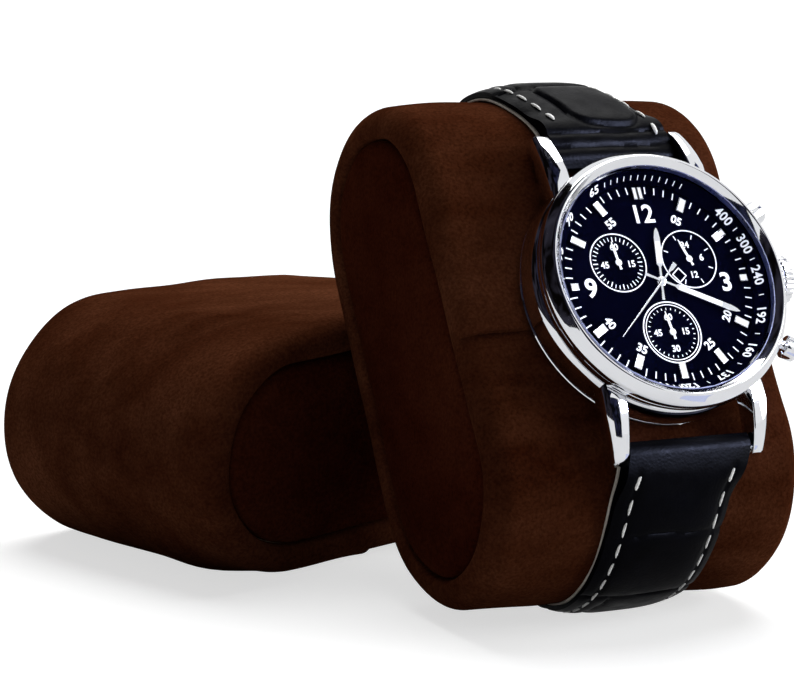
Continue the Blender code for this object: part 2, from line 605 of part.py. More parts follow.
def make_interior(watch):
    """Dial, tachymeter ring, movement, its holder and its cell."""
    holder_outer = CASE_BORE_RADIUS - 4 * FIT_GAP
    disc = turned_mesh(rod_profile(DIAL_RADIUS, DIAL_FOOT, DIAL_TOP))
    dial = make_object("dial", disc, "navy_dial", watch)
    cuts = bmesh.new()
    low = DIAL_FOOT - OVERRUN
    high = DIAL_TOP + OVERRUN
    add_cylinder(cuts, HOUR_TUBE_RADIUS + SLIDE_GAP, (0, 0, low), (0, 0, high))
    combine(dial, make_object("dial_centre_hole", cuts, None, watch), "DIFFERENCE")
    recess = bmesh.new()
    hole = SMALL_ARBOR_RADIUS + SLIDE_GAP
    sunk = DIAL_TOP - SUBDIAL_DEPTH
    for x, y in SUBDIAL_CENTRES.values():
        profile = [
            (0, low), (hole, low), (hole, sunk), (SUBDIAL_RADIUS, sunk), (SUBDIAL_RADIUS, high), (0, high),
        ]
        one = turned_mesh(profile, TURN_STEPS // 2)
        bmesh.ops.translate(one, verts=one.verts, vec=(x, y, 0))
        add_mesh(recess, one)
    combine(dial, make_object("subdial_recesses", recess, None, watch), "DIFFERENCE")

    foot = DIAL_TOP + FIT_GAP
    step = BEZEL_FOOT + 2 * FIT_GAP
    rehaut = [
        (REHAUT_FOOT_RADIUS, foot),
        (DIAL_RADIUS, foot),
        (DIAL_RADIUS, step),
        (REHAUT_TOP_RADIUS, step),
        (REHAUT_TOP_RADIUS, LEDGE_TOP - FIT_GAP),
        (REHAUT_TOP_RADIUS - 4 * FIT_GAP, LEDGE_TOP - FIT_GAP),
        (REHAUT_FOOT_RADIUS, foot + 3 * FIT_GAP),
    ]
    make_object("tachymeter_ring", turned_mesh(rehaut), "navy_dial", watch)

    holder = make_object(
        "movement_holder",
        turned_mesh(tube_profile(holder_outer, holder_outer - HOLDER_WIDTH, MOVEMENT_FOOT, MOVEMENT_TOP)),
        "holder_plastic", watch,
    )
    movement = make_object(
        "movement", turned_mesh(rod_profile(MOVEMENT_RADIUS, MOVEMENT_FOOT, MOVEMENT_TOP)),
        "movement_brass", watch,
    )
    for obj in (holder, movement):
        bore = bmesh.new()
        ends = [(STEM_START - OVERRUN, 0, CONTROL_Z), (CASE_RADIUS, 0, CONTROL_Z)]
        add_cylinder(bore, STEM_RADIUS + SLIDE_GAP, *ends)
        combine(obj, make_object(obj.name + "_stem_bore", bore, None, watch), "DIFFERENCE")
    pocket = bmesh.new()
    cell_top = MOVEMENT_FOOT + CELL_THICKNESS
    add_cylinder(
        pocket, CELL_RADIUS + SLIDE_GAP,
        (CELL_X, CELL_Y, MOVEMENT_FOOT - OVERRUN), (CELL_X, CELL_Y, cell_top + SLIDE_GAP),
    )
    combine(movement, make_object("cell_pocket", pocket, None, watch), "DIFFERENCE")
    make_object(
        "button_cell", turned_mesh(rod_profile(CELL_RADIUS, MOVEMENT_FOOT, cell_top), TURN_STEPS // 2),
        "polished_steel", watch, location=(CELL_X, CELL_Y, 0),
    )


SUBDIAL_CENTRES = {
    "small_seconds": (-SUBDIAL_X, SUBDIAL_Y),
    "day_hour": (SUBDIAL_X, SUBDIAL_Y),
    "minute_counter": (0, -LOW_SUBDIAL_Y),
}


def make_markers(watch):
    """Twelve applied batons, the three beside a numeral shorter."""
    for hour in range(1, 13):
        angle = math.tau * hour / 12
        share = SHORT_MARKER_SHARE if hour in (3, 9, 12) else 1
        half_length = MARKER_LENGTH / 2 * share
        middle = MARKER_RING_RADIUS + MARKER_LENGTH / 2 - half_length
        half_width = MARKER_WIDTH / 2
        low = DIAL_TOP + FIT_GAP
        rings = []
        chamfer = MARKER_HEIGHT / 3
        high = low + MARKER_HEIGHT
        for z, draw_in in ((low, 0), (high - chamfer, 0), (high, chamfer)):
            x = half_width - draw_in
            y = half_length - draw_in
            rings.append([(-x, middle - y, z), (x, middle - y, z), (x, middle + y, z), (-x, middle + y, z)])
        make_object(
            f"hour_marker_{hour:02d}", lofted_mesh(rings), "white_lacquer", watch, rotation=(0, 0, -angle)
        )


def hand_outline(length, width, tail):
    """A baton hand along +y: a narrow neck, a broad lit body, a tip and a tail."""
    neck = width * NECK_WIDTH_SHARE
    neck_share, body_share = HAND_LENGTH_SHARES
    return [
        (-neck, -tail), (neck, -tail), (neck, length * neck_share), (width / 2, length * neck_share),
        (width / 2, length * body_share), (neck / 2, length), (-neck / 2, length),
        (-width / 2, length * body_share), (-width / 2, length * neck_share), (-neck, length * neck_share),
    ]


def make_hand(name, parent, centre, z, angle, length, width, tail, hub_radius, bore_radius, foot):
    """A flat hand whose hub is a tube or a pin that reaches down through the dial."""
    hand = make_object(
        name, extruded_mesh(hand_outline(length, width, tail), z, z + HAND_THICKNESS), "white_lacquer",
        parent, location=(*centre, 0), rotation=(0, 0, -angle),
    )
    top = z + HAND_THICKNESS + FIT_GAP
    hub = make_object(name + "_hub", turned_mesh(rod_profile(hub_radius, foot, top), SMALL_TURN_STEPS),
                      None, hand)
    combine(hand, hub, "UNION")
    if bore_radius > 0:
        profile = rod_profile(bore_radius, foot - OVERRUN, top + OVERRUN)
        bore = make_object(name + "_bore", turned_mesh(profile, SMALL_TURN_STEPS), None, hand)
        combine(hand, bore, "DIFFERENCE")
    return hand


def make_hands(watch):
    foot = DIAL_FOOT + FIT_GAP
    centre = (0, 0)
    make_hand("hour_hand", watch, centre, HOUR_HAND_Z, HOUR_HAND_ANGLE, HOUR_HAND_LENGTH, HAND_WIDTH,
              HAND_TAIL_LENGTH, HOUR_TUBE_RADIUS, HOUR_TUBE_RADIUS - TUBE_WALL, foot)
    make_hand("minute_hand", watch, centre, MINUTE_HAND_Z, MINUTE_HAND_ANGLE, MINUTE_HAND_LENGTH, HAND_WIDTH,
              HAND_TAIL_LENGTH, MINUTE_TUBE_RADIUS, MINUTE_TUBE_RADIUS - TUBE_WALL, foot)
    make_hand("chronograph_hand", watch, centre, CHRONO_HAND_Z, CHRONO_HAND_ANGLE, CHRONO_HAND_LENGTH,
              CHRONO_HAND_WIDTH, CHRONO_TAIL_LENGTH, CHRONO_ARBOR_RADIUS, 0, foot)
    angles = {
        "small_seconds": SMALL_SECONDS_ANGLE,
        "minute_counter": MINUTE_COUNTER_ANGLE,
        "day_hour": DAY_HOUR_ANGLE,
    }
    for name, angle in angles.items():
        make_hand(name + "_hand", watch, SUBDIAL_CENTRES[name], SMALL_HAND_Z, angle, SMALL_HAND_LENGTH,
                  SMALL_HAND_WIDTH, SMALL_TAIL_LENGTH, SMALL_ARBOR_RADIUS, 0, foot)


def make_controls(watch):
    """Crown, its stem and tube, and the two pushers in their tubes."""
    outwards = (0, math.pi / 2, 0)
    place = (0, 0, CONTROL_Z)
    tube = tube_profile(CROWN_TUBE_RADIUS, STEM_RADIUS + SLIDE_GAP, TUBE_START, CROWN_TUBE_END)
    make_object("crown_tube", turned_mesh(tube, SMALL_TURN_STEPS), "polished_steel", watch, place, outwards)
    stem_end = CROWN_START + STEM_SOCKET - FIT_GAP
    make_object(
        "winding_stem", turned_mesh(rod_profile(STEM_RADIUS, STEM_START, stem_end), SMALL_TURN_STEPS),
        "polished_steel", watch, place, outwards,
    )
    rings = []
    crown_end = CROWN_START + CROWN_LENGTH
    places = (CROWN_START, CROWN_START + CROWN_BEVEL, crown_end - CROWN_BEVEL, crown_end)
    for along, share in zip(places, CROWN_WIDTH_SHARES):
        ring = []
        for i in range(2 * CROWN_FLUTES):
            radius = (CROWN_RADIUS - CROWN_FLUTE_DEPTH * (i % 2)) * share
            angle = math.tau * i / (2 * CROWN_FLUTES)
            ring.append((radius * math.cos(angle), radius * math.sin(angle), along))
        rings.append(ring)
    crown = make_object("crown", lofted_mesh(rings), "polished_steel", watch, place, outwards)
    socket = rod_profile(STEM_RADIUS + FIT_GAP, CROWN_START - OVERRUN, CROWN_START + STEM_SOCKET)
    socket_cutter = make_object("crown_socket", turned_mesh(socket, SMALL_TURN_STEPS), None, crown)
    combine(crown, socket_cutter, "DIFFERENCE")

    cap_end = PUSHER_CAP_START + PUSHER_CAP_LENGTH
    for name, angle in (("start", PUSHER_ANGLE), ("reset", -PUSHER_ANGLE)):
        turn = (0, math.pi / 2, angle)
        tube = tube_profile(PUSHER_TUBE_RADIUS, PUSHER_STEM_RADIUS + SLIDE_GAP, TUBE_START, PUSHER_TUBE_END)
        make_object(name + "_pusher_tube", turned_mesh(tube, SMALL_TURN_STEPS), "polished_steel",
                    watch, place, turn)
        cap = [
            (0, PUSHER_STEM_START), (PUSHER_STEM_RADIUS, PUSHER_STEM_START),
            (PUSHER_STEM_RADIUS, PUSHER_CAP_START), (PUSHER_CAP_RADIUS, PUSHER_CAP_START),
            (PUSHER_CAP_RADIUS, cap_end - PUSHER_CAP_BEVEL), (PUSHER_CAP_RADIUS - PUSHER_CAP_BEVEL, cap_end),
            (0, cap_end),
        ]
        make_object(name + "_pusher", turned_mesh(cap, SMALL_TURN_STEPS + SMALL_TURN_STEPS // 2),
                    "polished_steel", watch, place, turn)


def girth_point(distance, height, side):
    """(y, z) in the watch's frame of a point round the cushion: distance along its surface from the
    middle of its face, towards 12 o'clock for side 1 and 6 o'clock for -1, and height above it."""
    radius = OVAL_RADIUS + height
    if distance < OVAL_FLAT:
        y, z = distance, height
    elif distance < OVAL_FLAT + OVAL_ARC:
        angle = (distance - OVAL_FLAT) / OVAL_RADIUS
        y, z = OVAL_FLAT + radius * math.sin(angle), radius * math.cos(angle) - OVAL_RADIUS
    elif distance < 3 * OVAL_FLAT + OVAL_ARC:
        y, z = 2 * OVAL_FLAT + OVAL_ARC - distance, -OVAL_RADIUS - radius
    else:
        angle = (distance - 3 * OVAL_FLAT - OVAL_ARC) / OVAL_RADIUS
        y, z = -OVAL_FLAT - radius * math.sin(angle), -radius * math.cos(angle) - OVAL_RADIUS
    return side * y, z


def back_distance(y, side):
    """The girth distance of a place on the cushion's back face."""
    return 2 * OVAL_FLAT + OVAL_ARC - side * y


def bar_place(side):
    """(distance, height) of the spring bar at 12 o'clock for side 1 and at 6 o'clock for -1."""
    past_flat = SPRING_BAR_Y - side * HEAD_DROP - OVAL_FLAT
    out = SPRING_BAR_Z + OVAL_RADIUS
    distance = OVAL_FLAT + OVAL_RADIUS * math.atan2(past_flat, out)
    return distance, math.hypot(past_flat, out) - OVAL_RADIUS


def mix(first, second, share):
    share = min(max(share, 0), 1)
    return first + (second - first) * share


def strap_thickness(distance, side):
    along = distance - bar_place(side)[0]
    return mix(STRAP_THICKNESS, STRAP_END_THICKNESS, along / STRAP_PADDING_LENGTH)


def strap_half_width(distance, side):
    along = distance - bar_place(side)[0]
    return mix(STRAP_WIDTH, STRAP_END_WIDTH, along / STRAP_TAPER_LENGTH) / 2


def strap_drift(distance, side):
    """The tail half lies a little askew under the cushion: it drifts sideways and comes back."""
    if side > 0:
        return 0
    start = bar_place(side)[0]
    share = (distance - start) / (back_distance(TAIL_RISE_START, side) - start)
    return -TAIL_DRIFT * math.sin(math.pi * min(max(share, 0), 1))


def band_ring(distance, low, high, half_width, side, domed):
    """A strap section: flat inside, with its outer edges lower than its middle if it is domed."""
    if domed:
        edge = mix(high, low, STRAP_EDGE_DROP_SHARE)
        crest = half_width * STRAP_DOME_WIDTH_SHARE
        corners = [(-half_width, low), (half_width, low), (half_width, edge),
                   (crest, high), (-crest, high), (-half_width, edge)]
    else:
        corners = [(-half_width, low), (half_width, low), (half_width, high), (-half_width, high)]
    ring = []
    drift = strap_drift(distance, side)
    for x, height in corners:
        y, z = girth_point(distance, height, side)
        ring.append((x + drift, y, z))
    return ring


def strap_stops(start, end):
    """Girth distances from start to end in even steps."""
    count = math.ceil((end - start) / STRAP_STEP)
    return [start + (end - start) * i / count for i in range(count + 1)]


def strap_foot(distance, side):
    """Height of a strap half's underside: raised at the spring bar, then down on the cushion."""
    bar_distance, bar_height = bar_place(side)
    head = bar_height - STRAP_THICKNESS / 2
    return mix(head, SOFT_GAP, (distance - bar_distance) / (2 * LINING_START))


def buckle_side_foot(distance):
    """The buckle half rises again on the cushion's back, where the keepers pass under it."""
    rise_start = OVAL_FLAT + OVAL_ARC - KEEPER_RISE_LENGTH
    rise = mix(0, KEEPER_LAYER - SOFT_GAP, (distance - rise_start) / KEEPER_RISE_LENGTH)
    return strap_foot(distance, 1) + rise


def tail_side_foot(distance):
    """The tail half climbs over the buckle's bar and then lies on the other half."""
    y = distance - back_distance(0, -1)
    under = min(GIRTH - distance, back_distance(FIXED_KEEPER_Y, 1))
    lap = buckle_side_foot(under) + strap_thickness(under, 1) + LAYER_GAP
    return mix(strap_foot(distance, -1), lap, (y - TAIL_RISE_START) / TAIL_RISE_LENGTH)


def head_rings(side):
    """The strap's rounded head in front of the spring bar, up to where its lining starts."""
    bar_distance, bar_height = bar_place(side)
    rings = []
    for share, thick_share in STRAP_HEAD_SHARES:
        half = STRAP_THICKNESS / 2 * thick_share
        distance = bar_distance + STRAP_HEAD_LENGTH * share
        rings.append(band_ring(distance, bar_height - half, bar_height + half, STRAP_WIDTH / 2, side, True))
    end = bar_distance + LINING_START
    return rings + [body_ring(end, side, strap_foot(end, side), False)]


def body_ring(distance, side, foot, lined):
    floor = foot + (LINING_THICKNESS + FIT_GAP if lined else 0)
    high = foot + strap_thickness(distance, side)
    return band_ring(distance, floor, high, strap_half_width(distance, side), side, True)


def lining_mesh(side, stops, foot_of):
    """The lining under the leather, a little shorter than it at both ends."""
    rings = []
    for distance in [stops[0] + FIT_GAP] + stops[1:-1] + [stops[-1] - FIT_GAP]:
        foot = foot_of(distance)
        half_width = strap_half_width(distance, side) - FIT_GAP
        rings.append(band_ring(distance, foot, foot + LINING_THICKNESS, half_width, side, False))
    return lofted_mesh(rings)


def bar_bore(name, parent, y, z, radius, half_length):
    bore = bmesh.new()
    add_cylinder(bore, radius, (-half_length, y, z), (half_length, y, z))
    return make_object(name, bore, None, parent)


def make_spring_bar(name, parent, y, z, half_gap, pivot_radius, pivot_length, radius):
    """A bar across x with a thinner pivot at each end."""
    body = half_gap - SLIDE_GAP
    tip = half_gap + pivot_length
    profile = [
        (0, -tip), (pivot_radius, -tip), (pivot_radius, -body), (radius, -body),
        (radius, body), (pivot_radius, body), (pivot_radius, tip), (0, tip),
    ]
    return make_object(name, turned_mesh(profile, SMALL_TURN_STEPS), "polished_steel", parent,
                       (0, y, z), (0, math.pi / 2, 0))


def make_buckle_side(watch):
    """The short half of the strap, from 12 o'clock over the cushion's top to the buckle's bar."""
    bar = back_distance(BUCKLE_BAR_Y, 1)
    barrel_start = bar - 3 * BUCKLE_BAR_RADIUS
    lining_start = bar_place(1)[0] + LINING_START + FIT_GAP
    stops = strap_stops(lining_start, barrel_start - BUCKLE_BAR_RADIUS)
    rings = head_rings(1)
    rings += [body_ring(distance, 1, buckle_side_foot(distance), True) for distance in stops]
    for past, thick_share in BARREL_SHARES:
        half = BUCKLE_BARREL / 2 * thick_share
        low = BUCKLE_BAR_HEIGHT - half
        high = BUCKLE_BAR_HEIGHT + half
        rings.append(band_ring(bar + past * BUCKLE_BAR_RADIUS, low, high, STRAP_END_WIDTH / 2, 1, True))
    strap = make_object("strap_buckle_side", lofted_mesh(rings), "leather", watch)
    make_object("strap_buckle_side_lining", lining_mesh(1, stops, buckle_side_foot), "lining", watch)

    bore_radius = SPRING_BAR_RADIUS + SLIDE_GAP
    bar_y = SPRING_BAR_Y - HEAD_DROP
    bore = bar_bore("bore_12", watch, bar_y, SPRING_BAR_Z, bore_radius, STRAP_WIDTH)
    combine(strap, bore, "DIFFERENCE")
    y, z = girth_point(bar, BUCKLE_BAR_HEIGHT, 1)
    bore = bar_bore("bore_buckle", watch, y, z, BUCKLE_BAR_RADIUS + SLIDE_GAP, STRAP_WIDTH)
    combine(strap, bore, "DIFFERENCE")
    slot = bmesh.new()
    size = Matrix.Diagonal((TONGUE_SLOT, 2 * BUCKLE_BARREL, 2 * BUCKLE_BARREL, 1))
    bmesh.ops.create_cube(slot, size=1, matrix=size)
    slot_reach = BUCKLE_BARREL - BUCKLE_BAR_RADIUS - TONGUE_EYE_RADIUS
    combine(strap, make_object("tongue_slot", slot, None, watch, (0, y - slot_reach, z)), "DIFFERENCE")


def make_tail_side(watch):
    """The long half, from 6 o'clock under the cushion, up its back and over the buckle's bar."""
    end = back_distance(BUCKLE_BAR_Y, -1) + TAIL_END_PAST_BAR
    point_start = end - TAIL_POINT_LENGTH
    rise = back_distance(TAIL_RISE_START, -1)
    rise_end = rise + TAIL_RISE_LENGTH
    lined = strap_stops(bar_place(-1)[0] + LINING_START + FIT_GAP, rise)
    plain = strap_stops(rise, rise_end)[1:] + strap_stops(rise_end, point_start)[1:]
    rings = head_rings(-1)
    rings += [body_ring(distance, -1, tail_side_foot(distance), True) for distance in lined]
    rings += [body_ring(distance, -1, tail_side_foot(distance), False) for distance in plain]
    for share, width_share in TAIL_POINT_SHARES:
        half_width = mix(STRAP_END_WIDTH, TAIL_POINT_WIDTH, width_share) / 2
        distance = point_start + TAIL_POINT_LENGTH * share
        foot = tail_side_foot(distance)
        rings.append(band_ring(distance, foot, foot + STRAP_END_THICKNESS, half_width, -1, True))
    strap = make_object("strap_tail_side", lofted_mesh(rings), "leather", watch)
    make_object("strap_tail_side_lining", lining_mesh(-1, lined, tail_side_foot), "lining", watch)
    bore_radius = SPRING_BAR_RADIUS + SLIDE_GAP
    bar_y = -SPRING_BAR_Y - HEAD_DROP
    bore = bar_bore("bore_6", watch, bar_y, SPRING_BAR_Z, bore_radius, STRAP_WIDTH)
    combine(strap, bore, "DIFFERENCE")
    combine(strap, make_strap_holes(watch), "DIFFERENCE")
    return strap


def tongue_path():
    """(y, height) points of the tongue, from its eye on the bar through the tail to the frame."""
    hole_y = TAIL_RISE_START + TAIL_RISE_LENGTH * TONGUE_HOLE_SHARE
    slope = math.atan2(TAIL_LIFT, TAIL_RISE_LENGTH)
    foot = SOFT_GAP + TAIL_LIFT * TONGUE_HOLE_SHARE
    out = Vector((-math.sin(slope), math.cos(slope)))
    under = Vector((hole_y, foot)) - out * (TONGUE_RADIUS + SLIDE_GAP)
    over = Vector((hole_y, foot)) + out * (STRAP_END_THICKNESS + TONGUE_RADIUS + SLIDE_GAP)
    rest_height = frame_bar_height() + BUCKLE_WIRE_RADIUS + TONGUE_RADIUS + SLIDE_GAP
    rest = Vector((BUCKLE_BAR_Y - BUCKLE_REACH, rest_height))
    tip = rest + Vector((-2 * BUCKLE_WIRE_RADIUS, -TONGUE_RADIUS))
    return [under, over, rest, tip], out


def frame_bar_height():
    """Height of the buckle's front bar above the cushion's back, just outside the tail."""
    return SOFT_GAP + STRAP_END_THICKNESS + SOFT_GAP + BUCKLE_WIRE_RADIUS


def make_strap_holes(watch):
    """The tongue's hole, and the others in the row along the tail."""
    path, out = tongue_path()
    cuts = bmesh.new()
    low = path[0] - out * BUCKLE_BARREL
    high = path[1] + out * BUCKLE_BARREL
    back = -2 * OVAL_RADIUS
    add_cylinder(cuts, HOLE_RADIUS, (0, low.x, back - low.y), (0, high.x, back - high.y))
    for i in range(1, HOLES_LEFT_AND_RIGHT + 1):
        y = path[0].x - HOLE_PITCH * i
        add_cylinder(cuts, HOLE_RADIUS, (0, y, back + OVERRUN), (0, y, back - BUCKLE_BARREL - OVERRUN))
    return make_object("strap_holes", cuts, None, watch)


def wire_mesh(points, radius, steps=SMALL_TURN_STEPS // 2):
    """A round wire along points, closed at both ends. Each section keeps the turn of the last."""
    rings = []
    side = Vector((1, 0, 0))
    for i, point in enumerate(points):
        before = points[max(i - 1, 0)]
        after = points[min(i + 1, len(points) - 1)]
        along = (after - before).normalized()
        side = (side - along * side.dot(along)).normalized()
        other = along.cross(side)
        rings.append([
            point + radius * (math.cos(math.tau * k / steps) * side + math.sin(math.tau * k / steps) * other)
            for k in range(steps)
        ])
    return lofted_mesh(rings)


def make_buckle(watch):
    """Bar, frame and tongue. Frame and tongue turn about the bar."""
    bar_y, bar_z = girth_point(back_distance(BUCKLE_BAR_Y, 1), BUCKLE_BAR_HEIGHT, 1)
    half_gap = STRAP_END_WIDTH / 2 + BUCKLE_SIDE_GAP
    make_spring_bar("buckle_bar", watch, bar_y, bar_z, half_gap, SPRING_BAR_PIVOT_RADIUS,
                    BUCKLE_WIRE_RADIUS, BUCKLE_BAR_RADIUS)

    pivot = make_empty("buckle_pivot", watch, (0, bar_y, bar_z))
    side_x = half_gap + BUCKLE_WIRE_RADIUS
    front_y = -BUCKLE_REACH
    front_z = BUCKLE_BAR_HEIGHT - frame_bar_height()
    corner = 2 * BUCKLE_WIRE_RADIUS
    bend = corner * CORNER_SHARE
    points = [Vector((side_x, 2 * BUCKLE_BAR_RADIUS, 0)), Vector((side_x, 0, 0)),
              Vector((side_x, front_y + corner, front_z)),
              Vector((side_x - bend, front_y + bend, front_z)),
              Vector((side_x - corner, front_y, front_z))]
    points += [Vector((-point.x, point.y, point.z)) for point in reversed(points)]
    frame = make_object("buckle_frame", wire_mesh(points, BUCKLE_WIRE_RADIUS), "polished_steel", pivot)
    bore = bar_bore("frame_bore", pivot, 0, 0, SPRING_BAR_PIVOT_RADIUS + SLIDE_GAP,
                    half_gap + BUCKLE_WIRE_RADIUS + SLIDE_GAP)
    combine(frame, bore, "DIFFERENCE")

    path, _ = tongue_path()
    eye_exit = Vector((BUCKLE_BAR_Y - TONGUE_EYE_RADIUS + TONGUE_RADIUS / 2, BUCKLE_BAR_HEIGHT))
    knee = Vector((path[0].x + TONGUE_RADIUS, BUCKLE_BAR_HEIGHT - TONGUE_RADIUS / 2))
    heights = [eye_exit, knee] + path
    points = [Vector((0, point.x - BUCKLE_BAR_Y, BUCKLE_BAR_HEIGHT - point.y)) for point in heights]
    tongue = make_object("buckle_tongue", wire_mesh(points, TONGUE_RADIUS), "polished_steel", pivot)
    half_width = TONGUE_WIDTH / 2
    eye = tube_profile(TONGUE_EYE_RADIUS, BUCKLE_BAR_RADIUS + SLIDE_GAP, -half_width, half_width)
    eye_object = make_object("tongue_eye", turned_mesh(eye, SMALL_TURN_STEPS), None, pivot,
                             rotation=(0, math.pi / 2, 0))
    combine(tongue, eye_object, "UNION")


def keeper_mesh(low, high, half_width):
    """A rectangular loop of leather round both layers of the strap."""
    wall = KEEPER_THICKNESS
    rings = []
    for y in (-KEEPER_WIDTH / 2, KEEPER_WIDTH / 2):
        for grow in ((0, wall) if y < 0 else (wall, 0)):
            x = half_width + grow
            inside = grow - low
            outside = -grow - high
            rings.append([(-x, y, inside), (x, y, inside), (x, y, outside), (-x, y, outside)])
    return ring_of_rings_mesh(rings)


def make_keepers(watch):
    """The sewn keeper next to the buckle, and the loose one that slides along the strap."""
    low = KEEPER_LAYER - LAYER_GAP
    high = KEEPER_TOP - KEEPER_THICKNESS
    half_width = STRAP_END_WIDTH / 2 + KEEPER_SIDE_GAP
    back = -2 * OVAL_RADIUS
    for name, y in (("fixed_keeper", FIXED_KEEPER_Y), ("free_keeper", FREE_KEEPER_Y)):
        make_object(name, keeper_mesh(low, high, half_width), "leather", watch, (0, y, back))


def side_inset(x):
    """How far the cushion's side lies under its widest, at any place along its axis."""
    past = abs(x) - (CUSHION_LENGTH / 2 - CUSHION_EDGE_RADIUS)
    if past <= 0:
        return crown_drop(x)
    rounding = math.sqrt(max(CUSHION_EDGE_RADIUS ** 2 - past ** 2, 0))
    return CUSHION_CROWN + CUSHION_EDGE_RADIUS - rounding


def gap_to_upright(point):
    """Distance from a point in the upright cushion's frame to it, or to the strap on its back."""
    if abs(point.x) > CUSHION_LENGTH / 2:
        return math.inf
    past_flat = max(abs(point.z) - OVAL_FLAT, 0)
    keeper_half_width = STRAP_END_WIDTH / 2 + KEEPER_SIDE_GAP + KEEPER_THICKNESS
    on_strap = abs(point.x - WATCH_OFF_CENTRE) < keeper_half_width
    height = KEEPER_TOP if on_strap else -side_inset(point.x)
    return math.hypot(point.y, past_flat) - OVAL_RADIUS - height


def near_end_points(place):
    """Points all over the lying cushion's end and edge, in the world."""
    end_face = (CUSHION_LENGTH / 2 + END_COVER_DOME, end_opening_inset())
    points = []
    for x, inset in cushion_side(0)[CROWN_STEPS:] + [end_face]:
        ring = [Vector(point) for point in oval_ring(x, inset)]
        for first, second in zip(ring, ring[1:] + ring[:1]):
            points += [place @ first.lerp(second, i / CONTACT_STEPS) for i in range(CONTACT_STEPS)]
    return points


def resting_depth(upright, turn):
    """How far back the lying cushion's middle is when the upright one just leans on it."""
    place = Matrix.Translation((LYING_TO_UPRIGHT_X, 0, REST_HEIGHT)) @ turn.to_matrix().to_4x4()
    points = near_end_points(place)
    to_upright = upright.inverted()
    near = 0
    far = CUSHION_HEIGHT + CUSHION_LENGTH
    for _ in range(CONTACT_ROUNDS):
        middle = (near + far) / 2
        gap = min(gap_to_upright(to_upright @ (point + Vector((0, middle, 0)))) for point in points)
        if gap < SOFT_GAP:
            near = middle
        else:
            far = middle
    return far


def make_table_cutter():
    """Everything under the table top, which cuts flat what stands on it."""
    cutter = bmesh.new()
    bmesh.ops.create_cube(cutter, size=4 * CUSHION_HEIGHT)
    return make_object("table_cutter", cutter, None, None, (0, 0, -2 * CUSHION_HEIGHT))


def place_cushions():
    """Stands one cushion leaning back on the other, which lies flat behind it."""
    upright_turn = Euler((-LEAN_ANGLE, 0, 0))
    height = STANDING_HEIGHT + OVAL_FLAT * math.cos(LEAN_ANGLE)
    middle = (0, OVAL_FLAT * math.sin(LEAN_ANGLE), height)
    upright = make_empty("upright_cushion", None, middle, upright_turn)
    lying_turn = Euler((math.pi / 2, 0, LYING_TURN - math.pi / 2))
    upright_place = Matrix.Translation(middle) @ upright_turn.to_matrix().to_4x4()
    depth = resting_depth(upright_place, lying_turn)
    lying = make_empty("lying_cushion", None, (LYING_TO_UPRIGHT_X, depth, REST_HEIGHT), lying_turn)
    return upright, lying


clear_scene()
MATERIALS = {name: make_material(name) for name in COLOURS}
TABLE_CUTTER = make_table_cutter()
UPRIGHT, LYING = place_cushions()
make_cushion("front_cushion", UPRIGHT)
combine(make_cushion("rear_cushion", LYING), TABLE_CUTTER, "DIFFERENCE")
WATCH = make_empty("watch", UPRIGHT, (WATCH_OFF_CENTRE, -CUSHION_THICKNESS / 2, 0), (math.pi / 2, 0, 0))
HEAD = make_empty("watch_head", WATCH, (0, -HEAD_DROP, 0))
make_case(HEAD)
make_interior(HEAD)
make_markers(HEAD)
make_hands(HEAD)
make_controls(HEAD)
for hour, bar_side in ((12, 1), (6, -1)):
    make_spring_bar(f"spring_bar_{hour}", HEAD, bar_side * SPRING_BAR_Y, SPRING_BAR_Z, LUG_GAP / 2,
                    SPRING_BAR_PIVOT_RADIUS, SPRING_BAR_PIVOT_LENGTH, SPRING_BAR_RADIUS)
make_buckle_side(WATCH)
combine(make_tail_side(WATCH), TABLE_CUTTER, "DIFFERENCE")
make_buckle(WATCH)
make_keepers(WATCH)
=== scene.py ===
# %% [markdown]
# # A chronograph on two suede watch cushions
# This lesson dresses a finished CAD model. Each step takes one piece of the real object, shapes it
# with the tools that Blender's edit mode has, and gives it a finish made of shader nodes.
# All lengths are in metres, so a millimetre gets a name of its own.

# %% Load the frame
import json
import math

import bpy
import numpy as np
from mathutils import Matrix, Vector


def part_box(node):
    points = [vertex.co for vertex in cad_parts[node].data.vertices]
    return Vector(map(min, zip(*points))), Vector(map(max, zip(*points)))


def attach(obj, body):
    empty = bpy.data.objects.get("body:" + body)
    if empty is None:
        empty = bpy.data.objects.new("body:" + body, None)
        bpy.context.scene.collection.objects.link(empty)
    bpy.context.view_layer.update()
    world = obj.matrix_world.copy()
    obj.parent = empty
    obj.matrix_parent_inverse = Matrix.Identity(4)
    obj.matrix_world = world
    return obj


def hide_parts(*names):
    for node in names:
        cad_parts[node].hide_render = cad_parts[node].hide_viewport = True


MM = 0.001
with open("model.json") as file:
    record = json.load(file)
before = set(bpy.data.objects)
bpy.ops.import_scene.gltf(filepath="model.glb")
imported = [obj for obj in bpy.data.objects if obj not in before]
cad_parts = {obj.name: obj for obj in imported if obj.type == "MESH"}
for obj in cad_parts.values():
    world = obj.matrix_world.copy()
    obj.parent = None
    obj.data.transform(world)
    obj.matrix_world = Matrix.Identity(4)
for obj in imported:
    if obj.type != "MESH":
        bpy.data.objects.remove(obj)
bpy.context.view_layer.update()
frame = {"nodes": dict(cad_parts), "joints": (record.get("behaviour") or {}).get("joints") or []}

# %% [markdown]
# ## The camera
# The photograph was taken from the left, a little above the table, with a long lens. The camera's
# place and lens come from lines and marks of the object, so the pieces fall where they should.

# %% Camera
IMAGE_WIDTH = 794
FOCAL_PIXELS = 2890.26
SENSOR = 36.0
CAMERA_PLACE = Vector((-0.21723, -0.36621, 0.11065))
YAW, PITCH, ROLL = (math.radians(angle) for angle in (26.833, -9.595, 1.064))

